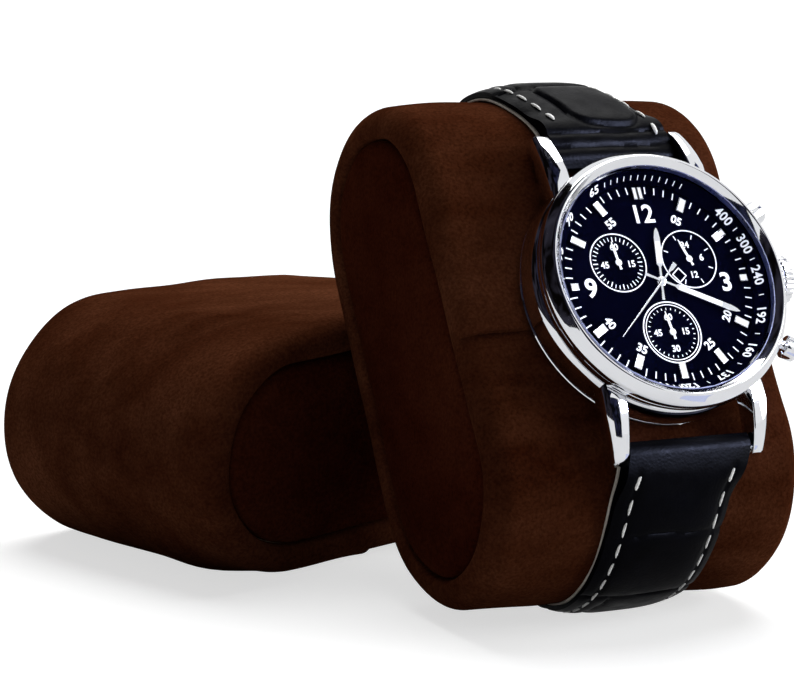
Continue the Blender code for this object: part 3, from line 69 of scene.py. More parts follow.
forward = Vector((math.sin(YAW) * math.cos(PITCH), math.cos(YAW) * math.cos(PITCH), math.sin(PITCH)))
level = Vector((math.cos(YAW), -math.sin(YAW), 0))
upward = level.cross(forward)
camera_x = level * math.cos(ROLL) + upward * math.sin(ROLL)
camera_y = upward * math.cos(ROLL) - level * math.sin(ROLL)
camera_data = bpy.data.cameras.new("photo_camera")
camera_data.sensor_width = SENSOR
camera_data.lens = FOCAL_PIXELS * SENSOR / IMAGE_WIDTH
camera_data.clip_start = 0.01
camera = bpy.data.objects.new("photo_camera", camera_data)
camera.matrix_world = Matrix.Translation(CAMERA_PLACE) @ Matrix(
    (camera_x, camera_y, -forward)).transposed().to_4x4()
bpy.context.scene.collection.objects.link(camera)
bpy.context.scene.camera = camera
print("lens in mm:", round(camera_data.lens, 1))

# %% [markdown]
# ## Small helpers
# A Blender operator acts on what is selected, so each helper first selects one piece. The others
# add a node, apply a modifier, or move a finished piece to its place and leave its object at the
# origin.

# %% Helpers for pieces
def take(obj):
    """Selects one object and nothing else."""
    bpy.ops.object.select_all(action="DESELECT")
    obj.select_set(True)
    bpy.context.view_layer.objects.active = obj


def take_all(pieces):
    take(pieces[0])
    for piece in pieces:
        piece.select_set(True)


def named(name):
    """Names the piece that the last operator added."""
    obj = bpy.context.active_object
    obj.name = name
    obj.data.name = name
    return obj


def modified(obj, kind, **settings):
    """Adds a modifier, sets it and applies it."""
    take(obj)
    modifier = obj.modifiers.new(kind.lower(), kind)
    for key, value in settings.items():
        setattr(modifier, key, value)
    bpy.ops.object.modifier_apply(modifier=modifier.name)
    return obj


def smoothed(obj, degrees=32):
    take(obj)
    bpy.ops.object.shade_smooth_by_angle(angle=math.radians(degrees))
    return obj


def tidied(obj, threshold=1e-6):
    """Merges doubled points and turns all faces outwards."""
    take(obj)
    bpy.ops.object.mode_set(mode="EDIT")
    bpy.ops.mesh.select_all(action="SELECT")
    bpy.ops.mesh.remove_doubles(threshold=threshold)
    bpy.ops.mesh.normals_make_consistent(inside=False)
    bpy.ops.object.mode_set(mode="OBJECT")
    return obj


def placed(obj, matrix):
    """Moves a piece and applies the move, so its place is in its mesh."""
    take(obj)
    obj.matrix_world = matrix
    bpy.ops.object.transform_apply(location=True, rotation=True, scale=True)
    return obj


def joined(name, pieces):
    take_all(pieces)
    bpy.ops.object.join()
    return named(name)


def copied(obj, matrix):
    """A copy with its own mesh, moved to its place."""
    take(obj)
    bpy.ops.object.duplicate(linked=False)
    return placed(bpy.context.active_object, matrix)


# %% Helpers for shapes
def formed(name, columns, rows, point, around=True, caps=True):
    """A flat grid whose points are laid where point(column, row) says. With around, its long edges
    meet and it is a tube, which caps close."""
    bpy.ops.object.select_all(action="DESELECT")
    bpy.ops.mesh.primitive_grid_add(x_subdivisions=columns, y_subdivisions=rows, size=1)
    obj = named(name)
    places = [point(column, row) for row in range(rows + 1) for column in range(columns + 1)]
    obj.data.vertices.foreach_set("co", np.array(places, dtype=float).ravel())
    bpy.ops.object.mode_set(mode="EDIT")
    bpy.ops.mesh.select_all(action="SELECT")
    if around:
        bpy.ops.mesh.remove_doubles(threshold=1e-7)
    if caps:
        bpy.ops.mesh.fill_holes(sides=0)
    bpy.ops.mesh.select_all(action="SELECT")
    bpy.ops.mesh.normals_make_consistent(inside=False)
    bpy.ops.object.mode_set(mode="OBJECT")
    return obj


def turned(name, profile, steps=128, ring=False):
    """A piece of revolution about z from (radius, height) points in millimetres: a disc whose ends
    are capped, or a ring whose last point joins its first."""
    bpy.ops.object.select_all(action="DESELECT")
    radius, height = profile[0]
    bpy.ops.mesh.primitive_circle_add(vertices=steps, radius=radius * MM)
    obj = named(name)
    bpy.ops.object.mode_set(mode="EDIT")
    bpy.ops.transform.translate(value=(0, 0, height * MM))
    for next_radius, next_height in profile[1:]:
        rise = (0, 0, (next_height - height) * MM)
        bpy.ops.mesh.extrude_edges_move(TRANSFORM_OT_translate={"value": rise})
        scale = next_radius / radius
        bpy.ops.transform.resize(value=(scale, scale, 1), center_override=(0, 0, next_height * MM))
        radius, height = next_radius, next_height
    bpy.ops.mesh.select_all(action="DESELECT")
    bpy.ops.mesh.select_mode(type="EDGE")
    bpy.ops.mesh.select_non_manifold()
    if ring:
        bpy.ops.mesh.bridge_edge_loops()
    else:
        bpy.ops.mesh.fill_holes(sides=0)
    bpy.ops.mesh.select_mode(type="VERT")
    bpy.ops.mesh.select_all(action="SELECT")
    bpy.ops.mesh.normals_make_consistent(inside=False)
    bpy.ops.object.mode_set(mode="OBJECT")
    return obj


def cut(obj, tool, operation="DIFFERENCE"):
    modified(obj, "BOOLEAN", operation=operation, object=tool, solver="EXACT")
    bpy.data.objects.remove(tool, do_unlink=True)
    return obj


def mix(first, second, share):
    share = min(max(share, 0.0), 1.0)
    return first + (second - first) * share


def ease(share):
    share = min(max(share, 0.0), 1.0)
    return share * share * (3 - 2 * share)


# %% [markdown]
# ## Helpers for finishes
# A finish is a small net of nodes: coordinates feed a noise, the noise feeds a colour ramp and a
# bump. The patterns read Object coordinates, which stay with a piece when it moves, and their
# scales are written as the real size of a grain.

# %% Helpers for materials
def add_node(tree, kind, settings=None, **inputs):
    """Adds a node. An input that is a socket is linked, any other value is set."""
    node = tree.nodes.new(kind)
    for key, value in (settings or {}).items():
        setattr(node, key, value)
    for key, value in inputs.items():
        socket = node.inputs[key.replace("_", " ")]
        if isinstance(value, bpy.types.NodeSocket):
            tree.links.new(value, socket)
        else:
            socket.default_value = value
    return node


def object_coordinates(tree, stretch=(1, 1, 1)):
    coordinates = add_node(tree, "ShaderNodeTexCoord").outputs["Object"]
    return add_node(tree, "ShaderNodeMapping", Vector=coordinates, Scale=stretch).outputs[0]


def noise(tree, coordinates, grain, detail=3.0, distortion=0.0):
    """Noise whose spots are about grain metres across."""
    return add_node(tree, "ShaderNodeTexNoise", Vector=coordinates, Scale=0.5 / grain, Detail=detail,
                    Distortion=distortion).outputs["Fac"]


def ramp(tree, factor, *stops):
    """A colour ramp from (place, colour) stops."""
    node = add_node(tree, "ShaderNodeValToRGB", Fac=factor)
    elements = node.color_ramp.elements
    while len(elements) < len(stops):
        elements.new(0.5)
    for element, (place, colour) in zip(elements, stops):
        element.position = place
        element.color = (*colour, 1)
    return node.outputs["Color"]


def level_of(tree, factor, low, high, from_low=0.0, from_high=1.0):
    """A value that runs from low to high while the factor runs over its own range."""
    return add_node(tree, "ShaderNodeMapRange", Value=factor, From_Min=from_low, From_Max=from_high,
                    To_Min=low, To_Max=high).outputs[0]


def mixed(tree, factor, first, second, blend="MIX"):
    node = tree.nodes.new("ShaderNodeMix")
    node.data_type = "RGBA"
    node.blend_type = blend
    for index, value in ((0, factor), (6, first), (7, second)):
        if isinstance(value, bpy.types.NodeSocket):
            tree.links.new(value, node.inputs[index])
        elif index == 0:
            node.inputs[0].default_value = value
        else:
            node.inputs[index].default_value = (*value, 1)
    return node.outputs[2]


def bumped(tree, height, depth, strength=1.0, normal=None):
    inputs = {"Height": height, "Distance": depth, "Strength": strength}
    if normal is not None:
        inputs["Normal"] = normal
    return add_node(tree, "ShaderNodeBump", **inputs).outputs[0]


def new_finish(name, **shader_inputs):
    """A material with one Principled shader, and its tree."""
    material = bpy.data.materials.new(name)
    material.use_nodes = True
    tree = material.node_tree
    shader = tree.nodes["Principled BSDF"]
    for key, value in shader_inputs.items():
        shader.inputs[key.replace("_", " ")].default_value = value
    return material, tree, shader


def wire(tree, shader, **outputs):
    for key, socket in outputs.items():
        tree.links.new(socket, shader.inputs[key.replace("_", " ")])


def dressed(obj, *materials):
    """Gives a piece its materials in place of those it has."""
    obj.data.materials.clear()
    for material in materials:
        obj.data.materials.append(material)
    return obj


def two_toned(name, grain, dark, light, rough=None, bump=None, detail=3.0, spread=0.2, **shader_inputs):
    """A finish in two tones that meet in soft spots. rough is (grain, detail, low, high, from_low,
    from_high) of an uneven roughness, bump is (grain, detail, depth, strength)."""
    material, tree, shader = new_finish(name, **shader_inputs)
    plain = object_coordinates(tree)
    spots = noise(tree, plain, grain, detail)
    wire(tree, shader, Base_Color=ramp(tree, spots, (0.5 - spread, dark), (0.5 + spread, light)))
    if rough:
        wire(tree, shader, Roughness=level_of(tree, noise(tree, plain, *rough[:2]), *rough[2:]))
    if bump:
        wire(tree, shader, Normal=bumped(tree, noise(tree, plain, *bump[:2]), *bump[2:]))
    return material, tree, shader


def declared(obj, body, slot, *nodes):
    """Puts a piece on its body and hides the CAD nodes that it replaces. The slot argument is not used."""
    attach(obj, body)
    if nodes:
        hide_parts(*nodes)
    return obj


# %% [markdown]
# ## Stage and light
# A white sweep and soft boxes are what a catalogue photograph uses. The floor is a pale sheet that
# keeps the object's shadow, and Light Path turns the surroundings white for the camera and for
# what metal and glass reflect, so the lamps need no extra power.

# %% Floor and surroundings
FLOOR_SIZE = 8.0
FLOOR_DROP = 0.02 * MM
FLOOR_GLOW = 0.64
MIRRORED_GLOW_SHARE = 0.45
ROOM_LIGHT = 0.14
bpy.ops.object.select_all(action="DESELECT")
bpy.ops.mesh.primitive_plane_add(size=FLOOR_SIZE, location=(0, 0, -FLOOR_DROP))
floor = named("floor")
bpy.ops.object.transform_apply(location=True, rotation=True, scale=True)
paper, tree, shader = new_finish("floor_paper", Roughness=0.9, Specular_IOR_Level=0.0)
fibres = noise(tree, object_coordinates(tree), 0.4 * MM, 4)
wire(tree, shader, Base_Color=ramp(tree, fibres, (0.3, (0.53, 0.53, 0.53)), (0.7, (0.57, 0.57, 0.57))))
rays = add_node(tree, "ShaderNodeLightPath")
seen = add_node(tree, "ShaderNodeMath", {"operation": "MAXIMUM"})
tree.links.new(rays.outputs["Is Camera Ray"], seen.inputs[0])
tree.links.new(rays.outputs["Is Transmission Ray"], seen.inputs[1])
mirrored = add_node(tree, "ShaderNodeMath", {"operation": "MULTIPLY_ADD"})
tree.links.new(rays.outputs["Is Glossy Ray"], mirrored.inputs[0])
mirrored.inputs[1].default_value = MIRRORED_GLOW_SHARE
tree.links.new(seen.outputs[0], mirrored.inputs[2])
shader.inputs["Emission Color"].default_value = (1, 1, 1, 1)
wire(tree, shader, Emission_Strength=level_of(tree, mirrored.outputs[0], 0.0, FLOOR_GLOW))
dressed(floor, paper)

world = bpy.data.worlds.new("studio")
bpy.context.scene.world = world
world.use_nodes = True
tree = world.node_tree
background = tree.nodes["Background"]
rays = add_node(tree, "ShaderNodeLightPath")
white = add_node(tree, "ShaderNodeMath", {"operation": "MAXIMUM"})
tree.links.new(rays.outputs["Is Camera Ray"], white.inputs[0])
tree.links.new(rays.outputs["Is Glossy Ray"], white.inputs[1])
wire(tree, background, Strength=level_of(tree, white.outputs[0], ROOM_LIGHT, 1.0))
background.inputs["Color"].default_value = (1, 1, 1, 1)


# %% Lamps
def facing(direction):
    """The turn that points z in a direction."""
    return Vector(direction).to_track_quat("Z", "Y").to_matrix().to_4x4()


def soft_sun(name, direction, strength, spread):
    """A far lamp that shines from this direction. Its spread is the angle that it fills."""
    data = bpy.data.lights.new(name, "SUN")
    data.energy = strength
    data.angle = math.radians(spread)
    lamp = bpy.data.objects.new(name, data)
    lamp.matrix_world = facing(direction)
    bpy.context.scene.collection.objects.link(lamp)


soft_sun("top_lamp", (0.22, 0.30, 0.92), 2.65, 50)
soft_sun("right_lamp", (0.85, -0.42, 0.30), 2.1, 40)
bpy.context.scene.view_settings.view_transform = "Standard"

# %% [markdown]
# ## Cards for the steel to mirror
# Polished steel in an all white room would look like white paint. A photographer hangs dark and
# tinted cards beside the camera, so that edges and curves draw themselves. Here the cards are part
# of the stage: only mirrored rays see them, and they neither light nor shade anything.

# %% Dark cards, and two cards that glow in reflections only
WATCH_HEAD = Vector((4.3, -10, 50)) * MM
CLOUD_GRAIN = 60 * MM


def card_at(name, direction, distance, size, dark, tint, strength=1.0):
    """A card of two tones, at a distance from the watch head in a direction."""
    bpy.ops.object.select_all(action="DESELECT")
    bpy.ops.mesh.primitive_plane_add(size=1)
    obj = named(name)
    place = Matrix.Translation(WATCH_HEAD + Vector(direction).normalized() * distance)
    obj.data.transform(place @ facing(direction) @ Matrix.Diagonal((*size, 1, 1)))
    material, tree, shader = new_finish(name, Base_Color=(0, 0, 0, 1), Specular_IOR_Level=0.0)
    clouds = noise(tree, object_coordinates(tree), CLOUD_GRAIN, 2, 0.5)
    wire(tree, shader, Emission_Color=ramp(tree, clouds, (0.42, dark), (0.62, tint)))
    shader.inputs["Emission Strength"].default_value = strength
    dressed(obj, material)
    for ray in ("camera", "diffuse", "shadow", "transmission", "volume_scatter"):
        setattr(obj, "visible_" + ray, False)


BLACK = (0.002, 0.002, 0.003)
NIGHT = (0.02, 0.022, 0.05)
card_at("left_card", (-0.85, 0.25, 0.55), 0.36, (1.0, 0.62), (0.002, 0.0015, 0.0015), (0.03, 0.028, 0.04))
card_at("front_card", (-0.30, -0.62, 0.72), 0.75, (0.14, 0.34), (0.02, 0.02, 0.05), (0.12, 0.16, 0.46))
card_at("camera_card", (-0.24, -0.90, 0.24), 0.5, (0.56, 0.56), BLACK, NIGHT)
card_at("overhead_card", (-0.30, -0.18, 0.93), 0.45, (0.52, 0.56), BLACK, NIGHT)
card_at("right_card", (0.72, -0.20, 0.62), 0.8, (0.10, 0.36), (0.02, 0.02, 0.05), (0.05, 0.07, 0.25))
# The last two cards glow though they light nothing: seen only in reflections, they paint a bright highlight
# on the leather and a pale blue reflection in the steel.
card_at("reflected_glow_card", (0.54, -0.71, 0.45), 0.8, (0.36, 0.20), (0.45, 0.51, 0.85), (0.65, 0.72, 1.0), 140.0)
card_at("floor_card", (0.30, -0.60, -0.74), 0.065, (0.020, 0.030), (0.42, 0.47, 0.72), (0.66, 0.71, 0.95))

# %% [markdown]
# ## The watch's own frame
# The hands turn about the dial's axis and the loose keeper slides towards 12 o'clock, so two joints
# of the CAD model give the directions in which all pieces of the watch are drawn: x to 3 o'clock,
# y to 12 o'clock and z out of the dial.

# %% Frames of the pieces
joints = {joint["name"]: joint for joint in frame["joints"]}
dial_out = -Vector(joints["minute_turn"]["axis"]).normalized()
to_twelve = Vector(joints["keeper_slide"]["axis"]).normalized()
to_three = to_twelve.cross(dial_out)
HEAD_DROP = 0.7 * MM
WATCH_OFF_CENTRE = 4.3 * MM
OVAL_RADIUS = 19.5 * MM
OVAL_FLAT = 19.5 * MM

HEAD = Matrix((to_three, to_twelve, dial_out)).transposed().to_4x4()
HEAD.translation = Vector(joints["minute_turn"]["pos_m"])
WATCH = HEAD @ Matrix.Translation((0, HEAD_DROP, 0))
UPRIGHT = WATCH @ Matrix.Translation((-WATCH_OFF_CENTRE, 0, -OVAL_RADIUS))

LYING_TURN = math.radians(17.2)
low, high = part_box("rear_cushion_foam")
middle = (Vector(low) + Vector(high)) / 2
lying_x = Vector((math.sin(LYING_TURN), -math.cos(LYING_TURN), 0))
lying_y = Vector((math.cos(LYING_TURN), math.sin(LYING_TURN), 0))
LYING = Matrix((lying_x, lying_y, lying_x.cross(lying_y))).transposed().to_4x4()
LYING.translation = middle
print("head at", [round(value / MM, 2) for value in HEAD.translation],
      "lying cushion at", [round(value / MM, 2) for value in middle])

# %% [markdown]
# ## The girth that cushions and strap share
# A cushion's section is a stadium: two flats and two half circles. The strap lies on the same
# line, a little further out, so one function gives the place of both.

# %% The stadium line
OVAL_ARC = math.pi * OVAL_RADIUS
GIRTH = 4 * OVAL_FLAT + 2 * OVAL_ARC


def oval_place(distance, radius):
    """(y, z) on a stadium of this radius, at a distance round the nominal one from the middle of
    its front face upwards."""
    distance = distance % GIRTH
    if distance < OVAL_FLAT:
        return distance, radius
    if distance < OVAL_FLAT + OVAL_ARC:
        angle = (distance - OVAL_FLAT) / OVAL_RADIUS
        return OVAL_FLAT + radius * math.sin(angle), radius * math.cos(angle)
    if distance < 3 * OVAL_FLAT + OVAL_ARC:
        return 2 * OVAL_FLAT + OVAL_ARC - distance, -radius
    if distance < 3 * OVAL_FLAT + 2 * OVAL_ARC:
        angle = (distance - 3 * OVAL_FLAT - OVAL_ARC) / OVAL_RADIUS
        return -OVAL_FLAT - radius * math.sin(angle), -radius * math.cos(angle)
    return distance - GIRTH, radius


print("girth in mm:", round(GIRTH / MM, 1))

# %% [markdown]
# ## Suede
# Suede is split leather whose surface has been brushed up. It has no gloss, its colour changes with
# the lie of the nap, and it has a fine short grain. Slow noise makes the brushed patches, fine noise
# makes the grain, and a little sheen gives the pale rim that nap has at a grazing angle.

# %% Suede finish
def make_suede(name, dark, middle_tone, light, stretch):
    material, tree, shader = new_finish(
        name, Roughness=0.95, Specular_IOR_Level=0.0, Sheen_Weight=0.05, Sheen_Roughness=0.4,
        Sheen_Tint=(0.42, 0.14, 0.05, 1))
    plain = object_coordinates(tree)
    brushed = object_coordinates(tree, stretch)
    patches = noise(tree, brushed, 13 * MM, 2, 0.35)
    tone = ramp(tree, patches, (0.30, dark), (0.50, middle_tone), (0.72, light))
    marks = noise(tree, brushed, 2.2 * MM, 3, 0.2)
    tone = mixed(tree, 0.28, tone, ramp(tree, marks, (0.30, dark), (0.70, light)))
    grain = noise(tree, plain, 0.24 * MM, 5, 0.3)
    speckle = ramp(tree, grain, (0.34, (0.68, 0.65, 0.62)), (0.66, (1.22, 1.22, 1.22)))
    wire(tree, shader, Base_Color=mixed(tree, 1.0, tone, speckle, "MULTIPLY"))
    fine = bumped(tree, grain, 0.12 * MM, 0.7)
    pores = noise(tree, plain, 0.8 * MM, 4)
    wire(tree, shader, Normal=bumped(tree, pores, 0.22 * MM, 0.5, fine))
    return material


SUEDE = make_suede("suede", (0.026, 0.0056, 0.0020), (0.052, 0.0142, 0.0060), (0.104, 0.036, 0.0170),
                   (0.45, 1.0, 1.0))
# The end panels get a darker, redder copy of the suede: its colour is painted shade for panels that face
# away from the lamps.
SHADED_PANEL_SUEDE = make_suede("shaded_panel_suede", (0.021, 0.0026, 0.0009), (0.035, 0.0066, 0.0026),
                         (0.056, 0.0142, 0.0062), (1.0, 0.7, 1.0))

# %% [markdown]
# ## The cushions
# A watch cushion is a strip of suede glued round a foam block, with its edges turned in over a card
# at each end and a suede panel set into the opening. The strip bulges where the foam pushes it, its
# edge rolls over into a soft ridge, and a narrow furrow runs round the panel. The strip is drawn as a
# flat grid and rolled round the stadium, as the maker does with the real one.

# %% Section of the suede strip
EDGE_START = 22.2
EDGE_RADIUS = 3.6
EDGE_STEPS = 10
CROWN = 0.45
FURROW_INSET = 5.4
PANEL_EDGE_X = 25.55
PANEL_DOME = 0.45
PANEL_FLAT_INSET = 7.0
PANEL_STEPS = 8
MIDDLE_INSET = OVAL_RADIUS / MM


def strip_profile():
    """(x, inset) in millimetres across the strip, from one turned-in edge to the other."""
    half = []
    for i in range(45):
        x = i / 2
        half.append((x, CROWN * (x / EDGE_START) ** 3))
    for i in range(1, EDGE_STEPS + 1):
        angle = math.pi / 2 * i / EDGE_STEPS
        half.append((EDGE_START + EDGE_RADIUS * math.sin(angle),
                     CROWN + EDGE_RADIUS * (1 - math.cos(angle))))
    half += [(25.72, 4.5), (25.4, 4.95), (24.8, 5.2), (23.8, 5.3)]
    return [(-x, inset) for x, inset in half[:0:-1]] + half


def panel_profile():
    """(x, inset) in millimetres from the furrow to the middle of an end panel."""
    points = [(23.8, FURROW_INSET), (24.5, 5.45), (25.1, 5.75), (25.42, 6.3)]
    points.append((PANEL_EDGE_X, PANEL_FLAT_INSET))
    for i in range(1, PANEL_STEPS + 1):
        share = i / PANEL_STEPS
        points.append((PANEL_EDGE_X + PANEL_DOME * (1 - (1 - share) ** 2),
                       mix(PANEL_FLAT_INSET, MIDDLE_INSET, share)))
    return points


# %% Fullness of each cushion
def near(distance, middle, width):
    """How close a girth distance is to a middle one: 1 there, 0 far off."""
    gap = (distance - middle + GIRTH / 2) % GIRTH - GIRTH / 2
    return math.exp(-(gap / width) ** 2)


def front_swell(x, distance):
    """The foam fills out beside the strap at the foot, most of all on the right."""
    foot = near(distance, 3 * OVAL_FLAT + OVAL_ARC * 1.5 + 5 * MM, 24 * MM)
    return foot * (1.35 * ease((x - 8) / 12) + 0.5 * ease((-x - 3) / 10)) + 0.1


def rear_swell(x, distance):
    """The upper face is full, and the foot of the near end draws in above the table."""
    top = near(distance, 2 * MM, 30 * MM)
    far = near(distance, -OVAL_FLAT - 0.50 * OVAL_ARC, 24 * MM)
    far_foot = near(distance, -OVAL_FLAT - 0.85 * OVAL_ARC, 18 * MM)
    foot = near(distance, 2 * OVAL_FLAT + OVAL_ARC, 34 * MM)
    left = (1.2 * far - 0.25 * far_foot) * ease((12 - x) / 25)
    return 1.9 * top + left - foot * (2.4 * ease((x - 8) / 15) - 0.5)


def waves(x, distance):
    """Slight unevenness of foam and glue, in millimetres."""
    turn = 2 * math.pi * distance / GIRTH
    return (0.16 * math.sin(3 * turn + 0.11 * x) + 0.10 * math.sin(7 * turn - 0.23 * x + 1.1)
            + 0.06 * math.sin(13 * turn + 0.35 * x + 2.3))


# %% Build a cushion
LAP_STOPS = [-0.9, -0.5, -0.25, -0.1, 0.05, 0.2, 0.5, 0.9]
WRAP_STEPS = 190
TURNED_IN_INSET = 4.2
WRAP_THICKNESS = 0.9 * MM
PANEL_THICKNESS = 0.6 * MM
PANEL_ROWS = 200


def padded_piece(obj, thickness, place, material, foot):
    """Gives a padded skin its thickness, finish and place, no lower than its foot on the table."""
    modified(obj, "SOLIDIFY", thickness=thickness, offset=-1)
    dressed(placed(obj, place), material)
    for vertex in obj.data.vertices:
        vertex.co.z = max(vertex.co.z, foot)
    return smoothed(obj, 60)


def make_wrap(name, place, lap_at, swell):
    """The strip of suede round a cushion, with its two ends lapped over each other."""
    profile = strip_profile()
    rows = [(lap_at + GIRTH * (i + 0.5) / WRAP_STEPS) for i in range(1, WRAP_STEPS - 1)]
    stops = [lap_at + offset * MM for offset in LAP_STOPS] + rows
    stops.append(stops[0] + GIRTH)

    def point(column, row):
        x, inset = profile[column]
        distance = stops[row]
        past = (distance - lap_at + GIRTH / 2) % GIRTH - GIRTH / 2
        lap = 0.50 * math.exp(-past / (7 * MM)) if past > 0 else -0.30 * math.exp((past / (0.5 * MM)))
        fullness = swell(x, distance) + waves(x, distance)
        if abs(x) > EDGE_START and inset > TURNED_IN_INSET:
            lap = 0.0
        radius = OVAL_RADIUS - (inset - lap - fullness) * MM
        y, z = oval_place(distance, radius)
        return (x * MM, y, z)

    obj = formed(name, len(profile) - 1, len(stops) - 1, point, caps=False)
    return padded_piece(obj, WRAP_THICKNESS, place, SUEDE, 0.02 * MM)


def make_panel(name, place, side, swell):
    """The suede cover over the board at one end of a cushion."""
    profile = panel_profile()

    def point(column, row):
        x, inset = profile[column]
        distance = GIRTH * row / PANEL_ROWS
        fullness = swell(side * x, distance) + waves(side * x, distance)
        share = (MIDDLE_INSET - inset) / (MIDDLE_INSET - FURROW_INSET)
        y, z = oval_place(distance, OVAL_RADIUS - (inset - fullness * share) * MM)
        return (side * x * MM, y, z)

    obj = tidied(formed(name, len(profile) - 1, PANEL_ROWS, point, caps=False), 1e-5)
    # the panel wears the darker suede copy, whose colour is painted shade
    return padded_piece(obj, PANEL_THICKNESS, place, SHADED_PANEL_SUEDE, 0.3 * MM)


FOAM_COLUMNS = 64
FOAM_INSET = 1.35
FOAM_ENDS = [(21.8, 3.4), (22.2, 6.0)]


def make_foam(name, place, material):
    """The block of foam inside a cushion, with rounded ends."""
    profile = [(-x, inset) for x, inset in reversed(FOAM_ENDS)]
    profile += [(x, FOAM_INSET + CROWN * (abs(x) / 22) ** 3) for x in range(-20, 21, 4)] + FOAM_ENDS

    def point(column, row):
        x, inset = profile[row]
        y, z = oval_place(GIRTH * column / FOAM_COLUMNS, OVAL_RADIUS - inset * MM)
        return (x * MM, y, z)

    obj = formed(name, FOAM_COLUMNS, len(profile) - 1, point)
    dressed(placed(obj, place), material)
    return smoothed(obj, 40)


foam_finish, tree, shader = new_finish("foam", Roughness=0.95, Specular_IOR_Level=0.2)
cells = add_node(tree, "ShaderNodeTexVoronoi", Vector=object_coordinates(tree), Scale=1 / (0.8 * MM))
wire(tree, shader,
     Base_Color=ramp(tree, cells.outputs["Distance"], (0.1, (0.62, 0.58, 0.48)), (0.7, (0.40, 0.37, 0.30))),
     Normal=bumped(tree, cells.outputs["Distance"], 0.3 * MM, 0.6))


for name, place, lap_at, swell in (
        ("front_cushion", UPRIGHT, -4.2 * MM, front_swell), ("rear_cushion", LYING, 104 * MM, rear_swell)):
    wrap = make_wrap(name + "_suede_wrap", place, lap_at, swell)
    declared(wrap, "cushions", "suede", name + "_wrap")
    for side, where in ((-1, "left"), (1, "right")):
        panel = make_panel(f"{name}_{where}_suede_panel", place, side, swell)
        declared(panel, "cushions", "suede", f"{name}_{where}_cover")
    declared(make_foam(name + "_foam_block", place, foam_finish), "cushions", "foam", name + "_foam")
    print(name, "wrap faces:", len(wrap.data.polygons))

# %% [markdown]
# ## The line of the strap
# The strap's two halves start at the spring bars and follow the cushion's girth. Each layer is a
# height above the cushion's surface: the buckle half lies on the cushion, lifts a little where the
# keepers pass under it, and ends at the buckle's bar, where the other half climbs over it.

# %% Heights along the strap
STRAP_WIDTH = 19.7 * MM
STRAP_END_WIDTH = 18.0 * MM
WIDTH_TAPER = 60 * MM
LUG_FLARE = 0.3 * MM
STRAP_THICKNESS = 3.6 * MM
STRAP_END_THICKNESS = 2.1 * MM
THICKNESS_TAPER = 26 * MM
LINING_THICKNESS = 0.36 * MM
LINING_START = 5.0 * MM
HEAD_REACH = {1: 4.2 * MM, -1: 1.8 * MM}
DRIFT = 2.2 * MM
SOFT_GAP = 0.3 * MM
FIT_GAP = 0.05 * MM
LAYER_GAP = 0.2 * MM
KEEPER_THICKNESS = 0.9 * MM
KEEPER_LAYER = SOFT_GAP + KEEPER_THICKNESS + LAYER_GAP
TAIL_FOOT = KEEPER_LAYER + STRAP_END_THICKNESS + LAYER_GAP
KEEPER_RISE = 10.0 * MM
SPRING_BAR_Y = 24.7 * MM
SPRING_BAR_Z = 2.1 * MM
BUCKLE_BAR_Y = 2.0 * MM
BUCKLE_BAR_HEIGHT = 1.85 * MM
BUCKLE_BAR_RADIUS = 0.75 * MM
BUCKLE_BARREL = 3.0 * MM
FREE_KEEPER_Y = 15.2 * MM
FIXED_KEEPER_Y = 8.4 * MM
TAIL_RISE_START = BUCKLE_BAR_Y - 9.0 * MM
TAIL_RISE_LENGTH = 7.0 * MM
TAIL_POINT_LENGTH = 9.0 * MM
TAIL_PAST_BUCKLE = 35.5 * MM
TAIL_TIP_WIDTH = 1.8 * MM


def girth_place(distance, height, side):
    """(y, z) in the watch's frame, for the half that starts at 12 o'clock (1) or 6 o'clock (-1)."""
    y, z = oval_place(distance, OVAL_RADIUS + height)
    return side * y, z - OVAL_RADIUS


def back_distance(y, side):
    """Distance along the girth of a place behind the cushion, y from its middle."""
    return 2 * OVAL_FLAT + OVAL_ARC - side * y


def bar_place(side):
    """(distance, height) of a spring bar along the girth."""
    past_flat = SPRING_BAR_Y - side * HEAD_DROP - OVAL_FLAT
    out = SPRING_BAR_Z + OVAL_RADIUS
    return (OVAL_FLAT + OVAL_RADIUS * math.atan2(past_flat, out), math.hypot(past_flat, out) - OVAL_RADIUS)


BAR = {side: bar_place(side) for side in (1, -1)}


def thickness_at(distance, side):
    return mix(STRAP_THICKNESS, STRAP_END_THICKNESS, (distance - BAR[side][0]) / THICKNESS_TAPER)


def half_width_at(distance, side):
    along = distance - BAR[side][0]
    flare = LUG_FLARE * (1 - ease(along / (6 * MM)))
    return mix(STRAP_WIDTH, STRAP_END_WIDTH, along / WIDTH_TAPER) / 2 + flare


def drift_at(distance, side):
    """Both halves settle a little to the left of the lugs and come back behind the cushion."""
    along = distance - BAR[side][0]
    if side > 0:
        return -DRIFT * ease(along / (15 * MM)) * (1 - ease((along - 24 * MM) / (22 * MM)))
    share = along / (back_distance(TAIL_RISE_START, side) - BAR[side][0])
    settled = 1.7 * MM * ease((along + 3 * MM) / (10 * MM)) * (1 - ease((along - 12 * MM) / (26 * MM)))
    return -DRIFT * math.sin(math.pi * min(max(share, 0.0), 1.0)) - settled


def simple_foot(distance, side):
    """Height of the underside where a half only lies on the cushion."""
    bar_distance, bar_height = BAR[side]
    return mix(bar_height - STRAP_THICKNESS / 2, SOFT_GAP, (distance - bar_distance) / (2 * LINING_START))


def buckle_foot(distance):
    """Height of the buckle half's underside, which lifts for the keepers."""
    rise_start = OVAL_FLAT + OVAL_ARC - KEEPER_RISE
    return simple_foot(distance, 1) + mix(0, KEEPER_LAYER - SOFT_GAP, (distance - rise_start) / KEEPER_RISE)


def tail_foot(distance):
    """Height of the tail half's underside, which climbs over the buckle half."""
    y = distance - back_distance(0, -1)
    under = min(GIRTH - distance, back_distance(FIXED_KEEPER_Y, 1))
    lap = buckle_foot(under) + thickness_at(under, 1) + LAYER_GAP
    return mix(simple_foot(distance, -1), lap, (y - TAIL_RISE_START) / TAIL_RISE_LENGTH)


